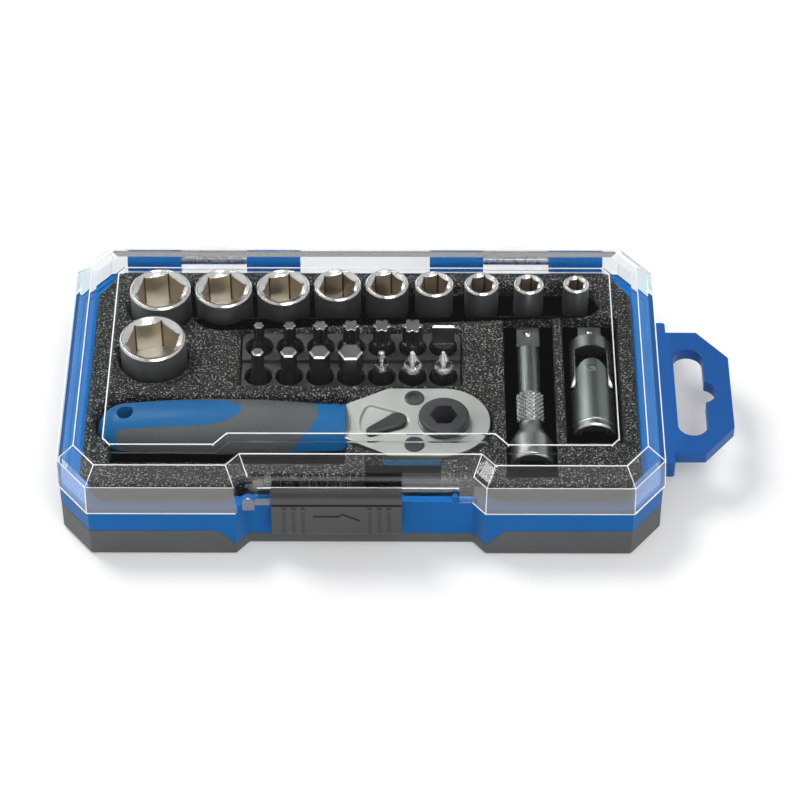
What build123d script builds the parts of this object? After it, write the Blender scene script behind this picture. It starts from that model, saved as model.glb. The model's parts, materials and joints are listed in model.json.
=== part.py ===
from build123d import *
import os
from math import hypot, pi, radians, sin

# Socket wrench set in a hinged case, in millimetres. X runs to the right, Y to the back and Z up.
# The origin lies under the middle of the case's floor, and the case is closed.
os.makedirs("parts", exist_ok=True)

# Tools: the ten sockets as (hexagon across flats, outside diameter), all with a 1/4 inch square drive
row_sockets = [
    (12, 16.8), (11, 15.8), (10, 14.7), (9, 13.0), (8, 11.9), (7, 10.6), (6, 9.4), (5, 8.2), (4, 7.1),
]
big_socket = (13, 18.0)
socket_length = 24.5
socket_rim = 0.7
socket_mouth_slope = 0.7
socket_hex_depth = 10.0
socket_drive_diameter = 11.9
socket_drive_length = 10.0
socket_edge = 0.5
drive_square = 6.3
drive_hole_square = 6.5
drive_hole_depth = 8.0
socket_gap = 1.2

# Tools: fourteen 25 mm bits with a 1/4 inch hexagon shank
star_bits = [("t10", 2.8), ("t15", 3.3), ("t20", 3.9), ("t25", 4.5), ("t27", 5.0), ("t30", 5.6)]
slot_bit = ("slot_6", 6.0, 1.0)
hex_bits = [("hex_3", 3.0), ("hex_4", 4.0), ("hex_5", 5.0), ("hex_6", 5.9)]
cross_bits = [("cross_1", 4.5, 1.4), ("cross_2", 6.0, 0.9), ("cross_3", 6.0, 0.5)]
bit_hex = 6.35
bit_length = 25.0
bit_shank_length = 13.0
bit_tip_length = 6.0
bit_end_chamfer = 0.5
star_core_share = 0.36
star_lobe_share = 0.14
cross_flute_share = 0.36
cross_flute_place = 0.62
cross_flute_start = 1.5
bit_pitch = 8.4
bit_row_pitch = 10.2
bit_hole_diameter = 7.8
holder_edge = 4.7
holder_front_edge = 5.4
holder_back_edge = 5.2
holder_floor = 0.8
holder_back_top_drop = 8.2
holder_tier_step = 1.2
holder_clearance = 0.3
holder_offset = -3.3
holder_corner = 1.5

# Tools: extension bar
extension_length = 52.0
extension_end_diameter = 12.4
extension_end_length = 11.5
extension_knurl_diameter = 8.0
extension_knurl_length = 11.0
extension_shank_diameter = 7.2
extension_square_length = 8.0
extension_neck_diameter = 7.2
extension_shoulder = 3.6
tool_proud = 0.6
detent_ball_diameter = 2.4
detent_ball_proud = 0.45
detent_ball_setback = 3.2
detent_travel = 0.4
ball_clearance = 0.05

# Tools: universal joint
joint_diameter = 12.2
joint_socket_length = 15.9
joint_fork_reach = 5.0
joint_body_reach = 1.6
joint_gap = 0.2
joint_block_half = 4.2
joint_block_length = 7.0
joint_block_edge = 0.8
joint_ball_setback = 2.6
joint_pin_diameter = 2.5
joint_collar_length = 5.5
joint_square_length = 5.0
joint_eye_radius = 4.0
joint_ring_depth = 0.3
joint_ring_width = 0.8
joint_ring_setback = 2.0
joint_rest_gap = 0.3
running_clearance = 0.05

# Tools: ratchet
ratchet_length = 105.3
head_radius = 12.4
head_reach = 15.0
neck_half_width = 6.4
neck_reach = 26.4
head_thickness = 10.0
cover_thickness = 1.8
cover_recess = 0.8
gear_radius = 8.2
gear_teeth = 36
gear_tooth_depth = 0.7
gear_thickness = 5.4
gear_side_gap = 0.3
boss_radius = 6.8
boss_proud = 2.6
lower_boss_radius = 5.5
square_drive_length = 7.0
bit_hole_depth = 8.0
lever_setback = 12.5
lever_length = 9.4
lever_eye_radius = 2.6
lever_tip_radius = 1.3
lever_thickness = 2.0
lever_shaft_radius = 1.5
lever_swing = 60.0
lever_recess_margin = 0.7
pawl_swing = 15.0
pawl_inner_radius = 9.3
pawl_thickness_radial = 1.2
pawl_spread = 26.0
pawl_hub_radius = 2.7
pawl_height = 4.6
pawl_clearance = 0.3
spring_thickness = 0.4
spring_width = 3.0
spring_length = 7.0
screw_setback = 7.9
screw_spread = 8.7
screw_head_radius = 2.7
screw_head_height = 1.4
screw_proud = 0.3
screw_shank_radius = 1.4
screw_length = 6.5
handle_radius = 8.8
handle_rest_gap = 0.3
collar_radius = 7.4
collar_length = 9.4
collar_top = 5.0
collar_side = 13.8
collar_side_rise = 1.7
collar_under = 17.2
grip_thickness = 1.6
butt_length = 5.5
butt_radius = 7.7
grip_end_radius = 7.8
handle_swell = 26.0
hang_hole_diameter = 4.5
hang_hole_setback = 7.6
tongue_straight = 25.8
tongue_tip = 12.9
tongue_half_width = 4.9
tongue_floor = 2.0
tang_length = 18.0
tang_width = 8.0
tang_height = 5.0
ratchet_sink = 4.2
plate_proud = 0.1

# Case
wall = 2.0
lip = 1.0
lip_height = 2.0
floor = 1.2
shell_height = 9.4
frame_height = 6.9
frame_front_drop = 5.1
frame_drop_run = 4.8
corner_across = 8.2
corner_along = 10.0
recess_width = 66.0
recess_depth = 4.1
recess_slant = 3.4
base_edge = 0.8
ledge_width = 4.6
ledge_thickness = 1.5
ledge_drop = 0.3
lid_wall = 1.5
lid_foot_flare = 0.5
lid_shoulder_flare = 0.1
lid_bevel_height = 3.8
lid_bevel_run = 4.5
lid_head_gap = 0.6
panel_step = 0.6
panel_inset = 7.5

# Hinges at the back
knuckle_radius = 2.8
knuckle_back = 3.8
knuckle_rise = 1.9
hinge_pin_diameter = 2.4
hinge_inner = 18.3
hinge_outer = 67.0
hinge_knuckle_length = 15.1
knuckle_gap = 0.3
press_clearance = 0.02
rib_length = 8.2
rib_height = 0.4
rib_width = 0.8
rib_pitch = 1.6

# Latch slider at the front
slider_left = -23.5
slider_length = 34.3
slider_bottom = 7.2
slider_top = 22.4
slider_plate_top = 18.4
slider_front = 3.5
slider_skin = 1.2
slider_clearance = 0.2
slider_corner = 0.8
slider_lock_travel = 4.0
slider_open_travel = 13.0
slider_end_gap = 0.3
rail_height = 4.0
rail_stem_height = 2.0
rail_head_thickness = 0.85
rail_centre = 11.5
rail_inset = 4.5
slot_lip = 0.9
groove_width = 0.8
groove_depth = 0.5
groove_pitch = 2.5
groove_count = 3
groove_edge = 3.4
lug_length = 3.3
lug_height = 2.5
lug_bottom = 0.7
hook_length = 3.2
notch_height = 4.2
notch_depth = 1.9
notch_pad = 2.0
nub_length = 1.4
nub_height = 1.7

# Hang tab at the right
tab_reach = 20.6
tab_width = 46.8
tab_thickness = 3.8
tab_top = 15.6
tab_corner_across = 8.3
tab_corner_along = 10.0
tab_bar_width = 3.9
tab_bar_overhang = 3.9
tab_bar_height = 5.2
tab_edge = 0.8
hang_slot_length = 33.0
hang_slot_width = 8.0
hang_slot_centre = 9.4
hang_bump_radius = 4.0
hang_bump_reach = 3.0
prong_width = 8.0
prong_thickness = 2.0
prong_spread = 30.0
prong_clearance = 0.2

# Tool tray
tray_margin = 5.5
tray_rise = 3.4
tray_thickness = 2.0
tray_floor = 0.8
tray_skirt = 1.5
pocket_wall = 1.4
pocket_clearance = 0.6
handle_room = 6.0
extension_room = 7.0
joint_room = 5.5
handle_room_setback = 4.0
left_web = 2.7
head_web = 3.6
column_web = 2.6
right_web = 4.3
front_web = 7.7
ratchet_web = 0.7
holder_web = 0.6
back_web = 2.7
big_socket_web = 1.0
big_socket_left = 7.4
finger_width = 20.0
finger_setback = 0.8
yaw_room = 0.9

# Layout along X: ratchet, extension bar and universal joint side by side
extension_pocket = extension_end_diameter + 2 * pocket_clearance
joint_pocket = joint_diameter + 2 * (pocket_clearance + yaw_room)
ratchet_pocket_length = ratchet_length + 2 * pocket_clearance
tray_width = (left_web + ratchet_pocket_length + head_web + extension_pocket
              + column_web + joint_pocket + right_web)
case_width = tray_width + 2 * tray_margin
tray_left = -tray_width / 2
ratchet_butt = tray_left + left_web + pocket_clearance
ratchet_end = ratchet_butt + ratchet_length
head_x = ratchet_end - head_radius
extension_x = ratchet_end + pocket_clearance + head_web + extension_pocket / 2
joint_x = extension_x + extension_pocket / 2 + column_web + joint_pocket / 2
prong_length = tray_margin + right_web - pocket_wall - 2 * prong_clearance

# Layout along Y: ratchet in front, then bits, then the socket row at the back
row_depth = row_sockets[0][1] + 2 * pocket_clearance
head_pocket = 2 * (head_radius + pocket_clearance)
holder_depth = holder_front_edge + bit_row_pitch + holder_back_edge
holder_well_depth = holder_depth + 2 * holder_clearance
tray_depth = (recess_depth + front_web + head_pocket + ratchet_web + holder_well_depth
              + holder_web + row_depth + back_web)
case_depth = tray_depth + 2 * tray_margin
tray_front = -tray_depth / 2
ratchet_y = tray_front + recess_depth + front_web + head_pocket / 2
holder_front = ratchet_y + head_pocket / 2 + ratchet_web + holder_clearance
front_row_y = holder_front + holder_front_edge
back_row_y = front_row_y + bit_row_pitch
row_back = tray_depth / 2 - back_web - pocket_clearance
big_socket_x = tray_left + big_socket_left + pocket_clearance + big_socket[1] / 2
big_socket_y = row_back - row_sockets[0][1] - 2 * pocket_clearance - big_socket_web - big_socket[1] / 2

# Heights
parting = shell_height + frame_height
stand = floor + tray_floor
tray_top = parting + tray_rise
tallest = stand + max(socket_length, bit_length)
panel_under = tallest + lid_head_gap
panel_top = panel_under + lid_wall
lid_top = panel_top + panel_step
lid_shoulder = lid_top - lid_bevel_height
tool_axis = tray_top + tool_proud - extension_end_diameter / 2
ratchet_axis = tray_top - ratchet_sink
plate_top = tray_top + plate_proud
head_bottom = plate_top - head_thickness
front_face = -case_depth / 2
recess_face = front_face + recess_depth
back_face = case_depth / 2
hinge_y = back_face + knuckle_back
hinge_z = parting + knuckle_rise


# Ways to set a box against its place: on its foot, from its front, or from one end
on_foot = (Align.CENTER, Align.CENTER, Align.MIN)
from_front = (Align.CENTER, Align.MIN, Align.CENTER)
from_left = (Align.MIN, Align.CENTER, Align.CENTER)
from_right = (Align.MAX, Align.CENTER, Align.CENTER)


def outline_points(inset):
    """Corners of the case's outline, moved inwards by the inset, from the left of the front."""
    w = case_width / 2
    d = case_depth / 2
    r = recess_width / 2
    corners = [
        (-w, -d + corner_along), (-w + corner_across, -d), (-r, -d), (-r + recess_slant, -d + recess_depth),
        (r - recess_slant, -d + recess_depth), (r, -d), (w - corner_across, -d), (w, -d + corner_along),
        (w, d - corner_along), (w - corner_across, d), (-w + corner_across, d), (-w, d - corner_along),
    ]
    return inset_points(corners, inset)


def inset_points(corners, inset):
    """Corners of a polygon, given anticlockwise, with every side moved inwards by the inset."""
    sides = []
    for index, (x0, y0) in enumerate(corners):
        x1, y1 = corners[(index + 1) % len(corners)]
        length = hypot(x1 - x0, y1 - y0)
        ux, uy = (x1 - x0) / length, (y1 - y0) / length
        sides.append((x0 - uy * inset, y0 + ux * inset, ux, uy))
    moved = []
    for index, (x1, y1, ux1, uy1) in enumerate(sides):
        x0, y0, ux0, uy0 = sides[index - 1]
        along = ((x1 - x0) * uy1 - (y1 - y0) * ux1) / (ux0 * uy1 - uy0 * ux1)
        moved.append((x0 + ux0 * along, y0 + uy0 * along))
    return moved


def save(builder, label):
    """Label a finished piece and write it."""
    builder.part.label = label
    export_step(builder.part, f"parts/{label}.step")


# Grey lower shell: a pan whose wall carries an inner lip for the frame
drop_half = recess_width / 2
drop_profile = [
    (-drop_half - frame_drop_run, shell_height), (-drop_half, shell_height - frame_front_drop),
    (drop_half, shell_height - frame_front_drop), (drop_half + frame_drop_run, shell_height),
]
drop_reach = recess_depth + wall
with BuildPart() as frame_drop:
    with BuildSketch(Plane.XZ.offset(-front_face - drop_reach)):
        Polygon(*drop_profile, align=None)
    extrude(amount=drop_reach)
    with BuildSketch(Plane.XY):
        Polygon(*outline_points(0), align=None)
    extrude(amount=parting, mode=Mode.INTERSECT)
    with BuildSketch(Plane.XY):
        Polygon(*outline_points(lip), align=None)
    extrude(amount=parting, mode=Mode.SUBTRACT)

with BuildPart() as base_shell:
    with BuildSketch():
        Polygon(*outline_points(0), align=None)
    extrude(amount=shell_height)
    chamfer(base_shell.faces().sort_by(Axis.Z)[0].edges(), length=base_edge)
    with BuildSketch(Plane.XY.offset(shell_height)):
        Polygon(*outline_points(lip), align=None)
    extrude(amount=lip_height)
    with BuildSketch(Plane.XY.offset(floor)):
        Polygon(*outline_points(wall), align=None)
    extrude(amount=parting, mode=Mode.SUBTRACT)
    add(frame_drop.part, mode=Mode.SUBTRACT)
save(base_shell, "base_shell")


def hinge_spans():
    """Spans along X of the base's knuckles and of the lid's knuckles, left hinge then right."""
    base_spans = []
    lid_spans = []
    for side in (-1, 1):
        near = hinge_inner + hinge_knuckle_length
        far = hinge_outer - hinge_knuckle_length
        base_spans += [sorted((side * hinge_inner, side * near)), sorted((side * far, side * hinge_outer))]
        lid_spans.append(sorted((side * (near + knuckle_gap), side * (far - knuckle_gap))))
    return base_spans, lid_spans


base_knuckles, lid_knuckles = hinge_spans()
axis_plane = Plane(origin=(0, hinge_y, hinge_z), x_dir=(0, 1, 0), z_dir=(1, 0, 0))
slider_right = slider_left + slider_length
slider_face = recess_face - slider_front

# Blue frame: a ring on the shell with the tray's ledge, hinge knuckles, latch rail and hang tab slots
with BuildPart() as base_frame:
    with BuildSketch(Plane.XY.offset(shell_height)):
        Polygon(*outline_points(0), align=None)
        Polygon(*outline_points(wall), align=None, mode=Mode.SUBTRACT)
    extrude(amount=frame_height)
    with BuildSketch(Plane.XY.offset(parting - ledge_drop)):
        Polygon(*outline_points(wall), align=None)
        Polygon(*outline_points(wall + ledge_width), align=None, mode=Mode.SUBTRACT)
    extrude(amount=-ledge_thickness)
    with BuildSketch(Plane.XY.offset(shell_height)):
        Polygon(*outline_points(lip), align=None)
    extrude(amount=lip_height, mode=Mode.SUBTRACT)
    add(frame_drop.part)
    for start, end in base_knuckles:
        with BuildSketch(axis_plane.offset(start)):
            Circle(knuckle_radius)
            Polygon((0, -knuckle_radius), (knuckle_radius, 0), (0, 0), (-knuckle_radius, -knuckle_rise),
                    (-knuckle_back, -knuckle_rise), (-knuckle_back, -frame_height), align=None)
        extrude(amount=end - start)
        with BuildSketch(axis_plane.offset(start)):
            Circle(hinge_pin_diameter / 2 + press_clearance)
        extrude(amount=end - start, mode=Mode.SUBTRACT)
    rail_length = slider_length - 2 * rail_inset
    rail_middle = slider_left + slider_length / 2
    stem_depth = slot_lip + 2 * slider_clearance
    with Locations((rail_middle, recess_face - stem_depth / 2, rail_centre)):
        Box(rail_length, stem_depth, rail_stem_height)
    with Locations((rail_middle, recess_face - stem_depth - rail_head_thickness / 2, rail_centre)):
        Box(rail_length, rail_head_thickness, rail_height)
    nub_start = slider_right + slider_open_travel + slider_end_gap
    with Locations((nub_start + nub_length / 2, recess_face + notch_depth / 2 - slider_clearance, parting)):
        Box(nub_length, notch_depth - 2 * slider_clearance, nub_height, align=on_foot)
    for side in (-1, 1):
        with Locations((case_width / 2, side * prong_spread / 2, tab_top - tab_thickness / 2)):
            Box(2 * (wall + ledge_width) + wall, prong_width + 2 * prong_clearance,
                prong_thickness + 2 * prong_clearance, mode=Mode.SUBTRACT)
save(base_frame, "base_frame")

for side, spans in (("left", base_knuckles[:2]), ("right", base_knuckles[2:])):
    pin_start = min(start for start, end in spans)
    pin_end = max(end for start, end in spans)
    with BuildPart() as hinge_pin:
        with BuildSketch(axis_plane.offset(pin_start)):
            Circle(hinge_pin_diameter / 2)
        extrude(amount=pin_end - pin_start)
    save(hinge_pin, f"hinge_pin_{side}")

# Clear lid: wall, bevel and a top with a sunken panel, knuckles at the back and the latch lug at the front
notch_left = slider_left - slider_end_gap - lug_length
notch_right = nub_start + nub_length + slider_end_gap


def lid_body(inset, height_off):
    """Loft the lid's solid shape from its foot to its top, moved inwards by the inset."""
    with BuildPart() as body:
        with BuildSketch(Plane.XY.offset(parting)):
            Polygon(*outline_points(inset - lid_foot_flare), align=None)
        with BuildSketch(Plane.XY.offset(lid_shoulder)):
            Polygon(*outline_points(inset - lid_shoulder_flare), align=None)
        loft(ruled=True)
        with BuildSketch(Plane.XY.offset(lid_shoulder)):
            Polygon(*outline_points(inset - lid_shoulder_flare), align=None)
        with BuildSketch(Plane.XY.offset(lid_top - height_off)):
            Polygon(*outline_points(inset + lid_bevel_run), align=None)
        loft(ruled=True)
    return body.part


lid_outside = lid_body(0, 0)
lid_inside = lid_body(lid_wall, panel_top - panel_under)
with BuildPart() as lid:
    add(lid_outside)
    add(lid_inside, mode=Mode.SUBTRACT)
    with BuildSketch(Plane.XY.offset(lid_top)):
        Polygon(*outline_points(lid_bevel_run + panel_inset), align=None)
    extrude(amount=-panel_step, mode=Mode.SUBTRACT)
    with BuildSketch(Plane.XY.offset(panel_under)):
        Polygon(*outline_points(lid_bevel_run + panel_inset - lid_wall), align=None)
    extrude(amount=panel_step)
    with Locations(((notch_left + notch_right) / 2, recess_face - lid_foot_flare, parting)):
        Box(notch_right - notch_left, lid_wall + notch_pad, notch_height + lid_wall,
            align=(Align.CENTER, Align.MIN, Align.MIN))
    with Locations(((slider_left + notch_right) / 2, recess_face - lid_foot_flare, parting)):
        Box(notch_right - slider_left, notch_depth + lid_foot_flare, notch_height,
            align=(Align.CENTER, Align.MIN, Align.MIN), mode=Mode.SUBTRACT)
    with Locations((slider_left - slider_end_gap, recess_face, parting + lug_bottom)):
        Box(lug_length + hook_length, slider_front - slider_skin - slider_end_gap, lug_height,
            align=(Align.MAX, Align.MAX, Align.MIN))
    hook_right = slider_left - slider_lock_travel - slider_end_gap
    with BuildSketch(Plane.XZ.offset(-recess_face - wall)):
        with Locations((hook_right - hook_length / 2, parting + lug_bottom + lug_height)):
            Circle(hook_length / 2)
        with Locations((hook_right - hook_length / 2, parting + ledge_drop)):
            Rectangle(hook_length, lug_bottom + lug_height - ledge_drop, align=(Align.CENTER, Align.MIN))
    extrude(amount=slider_front + wall)
    for start, end in lid_knuckles:
        with BuildSketch(axis_plane.offset(start)):
            Circle(knuckle_radius)
            Polygon((0, knuckle_radius), (0, -knuckle_rise), (-knuckle_back, -knuckle_rise),
                    (-knuckle_back, knuckle_radius), align=None)
        extrude(amount=end - start)
        for step in (-1, 0, 1):
            rib_y = hinge_y + step * rib_pitch
            with Locations(((start + end) / 2, rib_y, hinge_z + knuckle_radius - rib_height)):
                Box(rib_length, rib_width, 2 * rib_height, align=on_foot)
        with BuildSketch(axis_plane.offset(start)):
            Circle(hinge_pin_diameter / 2 + running_clearance)
        extrude(amount=end - start, mode=Mode.SUBTRACT)
save(lid, "lid")

# Black latch slider on the frame's T-rail, with a pocket at the left that slides over the lid's lug
lower_back = recess_face - slider_clearance
upper_back = recess_face - lid_foot_flare - slider_end_gap
slot_front = slider_face + slider_skin
with BuildPart() as latch_slider:
    with BuildSketch(Plane.YZ.offset(slider_left)):
        Polygon((lower_back, slider_bottom), (lower_back, parting - slider_end_gap),
                (upper_back, parting - slider_end_gap), (upper_back, slider_top),
                (slider_face, slider_top), (slider_face, slider_bottom), align=None)
    extrude(amount=slider_length)
    top_edges = latch_slider.edges().filter_by(Axis.X).group_by(Axis.Z)[-1]
    fillet(top_edges.sort_by(Axis.Y)[0], radius=upper_back - slider_face - slider_corner)
    bottom_edges = latch_slider.edges().filter_by(Axis.X).group_by(Axis.Z)[0]
    fillet(bottom_edges.sort_by(Axis.Y)[0], radius=slider_corner)
    with Locations((slider_left + slider_length / 2, recess_face, rail_centre)):
        Box(slider_length, slot_lip + slider_clearance, rail_stem_height + 2 * slider_clearance,
            align=(Align.CENTER, Align.MAX, Align.CENTER), mode=Mode.SUBTRACT)
    with Locations((slider_left + slider_length / 2, slot_front, rail_centre)):
        Box(slider_length, lower_back - slot_lip - slot_front, rail_height + 2 * slider_clearance,
            align=from_front, mode=Mode.SUBTRACT)
    with Locations((slider_left, slot_front, parting + lug_bottom - slider_end_gap)):
        Box(slider_lock_travel + slider_end_gap, recess_face - slot_front, lug_height + 2 * slider_end_gap,
            align=(Align.MIN, Align.MIN, Align.MIN), mode=Mode.SUBTRACT)
    for index in range(groove_count):
        groove_in = groove_edge + index * groove_pitch
        for groove_x in (slider_left + groove_in, slider_right - groove_in):
            with Locations((groove_x, slider_face, slider_bottom)):
                Box(groove_width, 2 * groove_depth, slider_plate_top - slider_bottom - slider_corner,
                    align=on_foot, mode=Mode.SUBTRACT)
    with Locations(((slider_left + slider_right) / 2, slider_face, slider_plate_top)):
        Box(slider_length, 2 * groove_depth, groove_width, mode=Mode.SUBTRACT)
save(latch_slider, "latch_slider")

# Hang tab: a slotted plate on a bar, plugged into the frame's right wall with two prongs
tab_root = case_width / 2
tab_end = tab_root + tab_reach
tab_half = tab_width / 2
slot_x = tab_root + hang_slot_centre
with BuildPart() as hang_tab:
    with BuildSketch(Plane.XY.offset(tab_top)):
        Polygon((tab_root, -tab_half), (tab_end - tab_corner_across, -tab_half),
                (tab_end, -tab_half + tab_corner_along), (tab_end, tab_half - tab_corner_along),
                (tab_end - tab_corner_across, tab_half), (tab_root, tab_half), align=None)
        with Locations((slot_x, 0)):
            SlotOverall(hang_slot_length, hang_slot_width, rotation=90, mode=Mode.SUBTRACT)
        with Locations((slot_x + hang_slot_width / 2 + hang_bump_reach - hang_bump_radius, 0)):
            Circle(hang_bump_radius, mode=Mode.SUBTRACT)
    extrude(amount=-tab_thickness)
    with Locations((tab_root, 0, tab_top)):
        Box(tab_bar_width, tab_width + 2 * tab_bar_overhang, tab_bar_height,
            align=(Align.MIN, Align.CENTER, Align.MAX))
    upright = hang_tab.edges().filter_by(Axis.Z)
    bar_ends = upright.group_by(Axis.Y)
    fillet([bar_ends[0].sort_by(Axis.X)[-1], bar_ends[-1].sort_by(Axis.X)[-1]], radius=tab_edge)
    for side in (-1, 1):
        with Locations((tab_root, side * prong_spread / 2, tab_top - tab_thickness / 2)):
            Box(prong_length, prong_width, prong_thickness, align=from_right)
save(hang_tab, "hang_tab")

# Places of the row's sockets: set back against one line, side by side with a gap
row_places = []
row_reach = [max(diameter, socket_drive_diameter) / 2 for flats, diameter in row_sockets]
row_length = 2 * sum(row_reach) + socket_gap * (len(row_sockets) - 1)
row_x = -row_length / 2
for (flats, diameter), reach in zip(row_sockets, row_reach):
    row_places.append((row_x + reach, row_back - reach))
    row_x += 2 * reach + socket_gap

holder_width = len(star_bits) * bit_pitch + 2 * holder_edge
well_width = holder_width + 2 * holder_clearance
well_y = holder_front + holder_depth / 2
extension_front = tray_front + recess_depth + front_web + pocket_clearance
extension_back = extension_front + extension_length
joint_back = extension_back
joint_pivot = joint_back - joint_square_length - joint_collar_length - joint_fork_reach - joint_eye_radius
joint_front = joint_pivot - joint_eye_radius - joint_body_reach - joint_socket_length
handle_end = head_x - neck_reach
column_floor = tool_axis - extension_end_diameter / 2
joint_floor = tool_axis - joint_diameter / 2 - joint_rest_gap
handle_floor = ratchet_axis - handle_radius - handle_rest_gap
drive_foot = head_bottom - square_drive_length


def head_sketch(grow):
    """Draw the ratchet head's outline, grown by a margin, in the sketch that is open."""
    with Locations((head_x, ratchet_y)):
        Circle(head_radius + grow)
    tangent = head_radius + grow
    neck = neck_half_width + grow
    left = head_x - neck_reach - grow
    shoulder = head_x - head_reach
    Polygon((head_x, ratchet_y - tangent), (head_x, ratchet_y + tangent), (shoulder, ratchet_y + tangent),
            (left, ratchet_y + neck), (left, ratchet_y - neck), (shoulder, ratchet_y - tangent), align=None)


def box_sketch(left, right, front, back, grow):
    """Draw a rectangle between four sides, grown by a margin, in the sketch that is open."""
    with Locations(((left + right) / 2, (front + back) / 2)):
        Rectangle(right - left + 2 * grow, back - front + 2 * grow)


def row_sketch(grow):
    """Draw the socket row's trough, grown by a margin, in the sketch that is open."""
    for (place_x, place_y), reach in zip(row_places, row_reach):
        with Locations((place_x, place_y)):
            Circle(reach + pocket_clearance + grow)
    first_x, first_y = row_places[0]
    last_x, last_y = row_places[-1]
    box_sketch(first_x, last_x, last_y - row_reach[-1], row_back, grow)


def big_socket_sketch(grow):
    """Draw the single socket's pocket, grown by a margin, in the sketch that is open."""
    with Locations((big_socket_x, big_socket_y)):
        Circle(big_socket[1] / 2 + pocket_clearance + grow)


def holder_sketch(grow):
    """Draw the bit holder's well, grown by a margin, in the sketch that is open."""
    with Locations((holder_offset, well_y)):
        Rectangle(well_width + 2 * grow, holder_well_depth + 2 * grow)


def handle_sketch(grow):
    """Draw the ratchet handle's pocket, grown by a margin, in the sketch that is open."""
    margin = pocket_clearance + grow
    with Locations((ratchet_butt + handle_radius, ratchet_y)):
        Circle(handle_radius + margin)
        Rectangle(handle_end - ratchet_butt - handle_radius + margin, 2 * (handle_radius + margin),
                  align=(Align.MIN, Align.CENTER))
    box_sketch(ratchet_butt + handle_room_setback, handle_end, ratchet_y - handle_radius - handle_room, ratchet_y,
               grow)


def head_pocket_sketch(grow):
    """Draw the ratchet head's pocket, grown by a margin, in the sketch that is open."""
    head_sketch(pocket_clearance + grow)


def drive_sketch(grow):
    """Draw the room under the ratchet's square drive, grown by a margin, in the sketch that is open."""
    with Locations((head_x, ratchet_y)):
        Circle(lower_boss_radius + pocket_clearance + grow)


def extension_sketch(grow):
    """Draw the extension bar's pocket, grown by a margin, in the sketch that is open."""
    half = extension_end_diameter / 2 + pocket_clearance
    box_sketch(extension_x - half, extension_x + half, extension_front - pocket_clearance - extension_room,
               extension_back + pocket_clearance, grow)


def joint_sketch(grow):
    """Draw the universal joint's pocket, grown by a margin, in the sketch that is open."""
    half = joint_pocket / 2
    box_sketch(joint_x - half, joint_x + half, joint_front - pocket_clearance - joint_room,
               joint_back + pocket_clearance, grow)


pockets = [
    (row_sketch, stand), (big_socket_sketch, stand), (holder_sketch, floor), (handle_sketch, handle_floor),
    (head_pocket_sketch, head_bottom), (drive_sketch, drive_foot - pocket_clearance),
    (extension_sketch, column_floor), (joint_sketch, joint_floor),
]

# Black tool tray: a plate with a skirt on the frame's ledge and a hanging pocket for each tool
with BuildPart() as tool_tray:
    with BuildSketch(Plane.XY.offset(tray_top)):
        Polygon(*outline_points(tray_margin), align=None)
    extrude(amount=-tray_thickness)
    with BuildSketch(Plane.XY.offset(tray_top)):
        Polygon(*outline_points(tray_margin), align=None)
        Polygon(*outline_points(tray_margin + tray_skirt), align=None, mode=Mode.SUBTRACT)
    extrude(amount=parting - ledge_drop - tray_top)
    for draw, pocket_floor in pockets:
        block_bottom = max(pocket_floor - tray_floor, floor)
        with BuildSketch(Plane.XY.offset(block_bottom)):
            draw(pocket_wall)
        extrude(amount=tray_top - tray_thickness - block_bottom)
    with BuildSketch(Plane.XY.offset(tray_top)):
        finger_right = head_x - finger_setback
        box_sketch(finger_right - finger_width, finger_right, front_face, ratchet_y - head_radius, 0)
    extrude(amount=-tray_top, mode=Mode.SUBTRACT)
    for draw, pocket_floor in pockets:
        with BuildSketch(Plane.XY.offset(pocket_floor)):
            draw(0)
        extrude(amount=tray_top, mode=Mode.SUBTRACT)
save(tool_tray, "tool_tray")

# Bit holder: two tiers of round holes, the front tier lower
bit_column = [holder_offset + (index - len(star_bits) / 2) * bit_pitch for index in range(len(star_bits) + 1)]
back_bit_foot = floor + holder_floor
holder_top = back_bit_foot + bit_length - holder_back_top_drop
tier_y = (front_row_y + back_row_y) / 2
with BuildPart() as bit_holder:
    with BuildSketch(Plane.XY.offset(floor)):
        with Locations((holder_offset, well_y)):
            RectangleRounded(holder_width, holder_depth, holder_corner)
    extrude(amount=holder_top - floor)
    with BuildSketch(Plane.XY.offset(holder_top)):
        box_sketch(holder_offset - holder_width, holder_offset + holder_width,
                   holder_front - holder_corner, tier_y, 0)
    extrude(amount=-holder_tier_step, mode=Mode.SUBTRACT)
    with BuildSketch(Plane.XY.offset(back_bit_foot)):
        for column in bit_column:
            with Locations((column, front_row_y), (column, back_row_y)):
                Circle(bit_hole_diameter / 2)
    extrude(amount=bit_length, mode=Mode.SUBTRACT)
save(bit_holder, "bit_holder")


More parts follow.
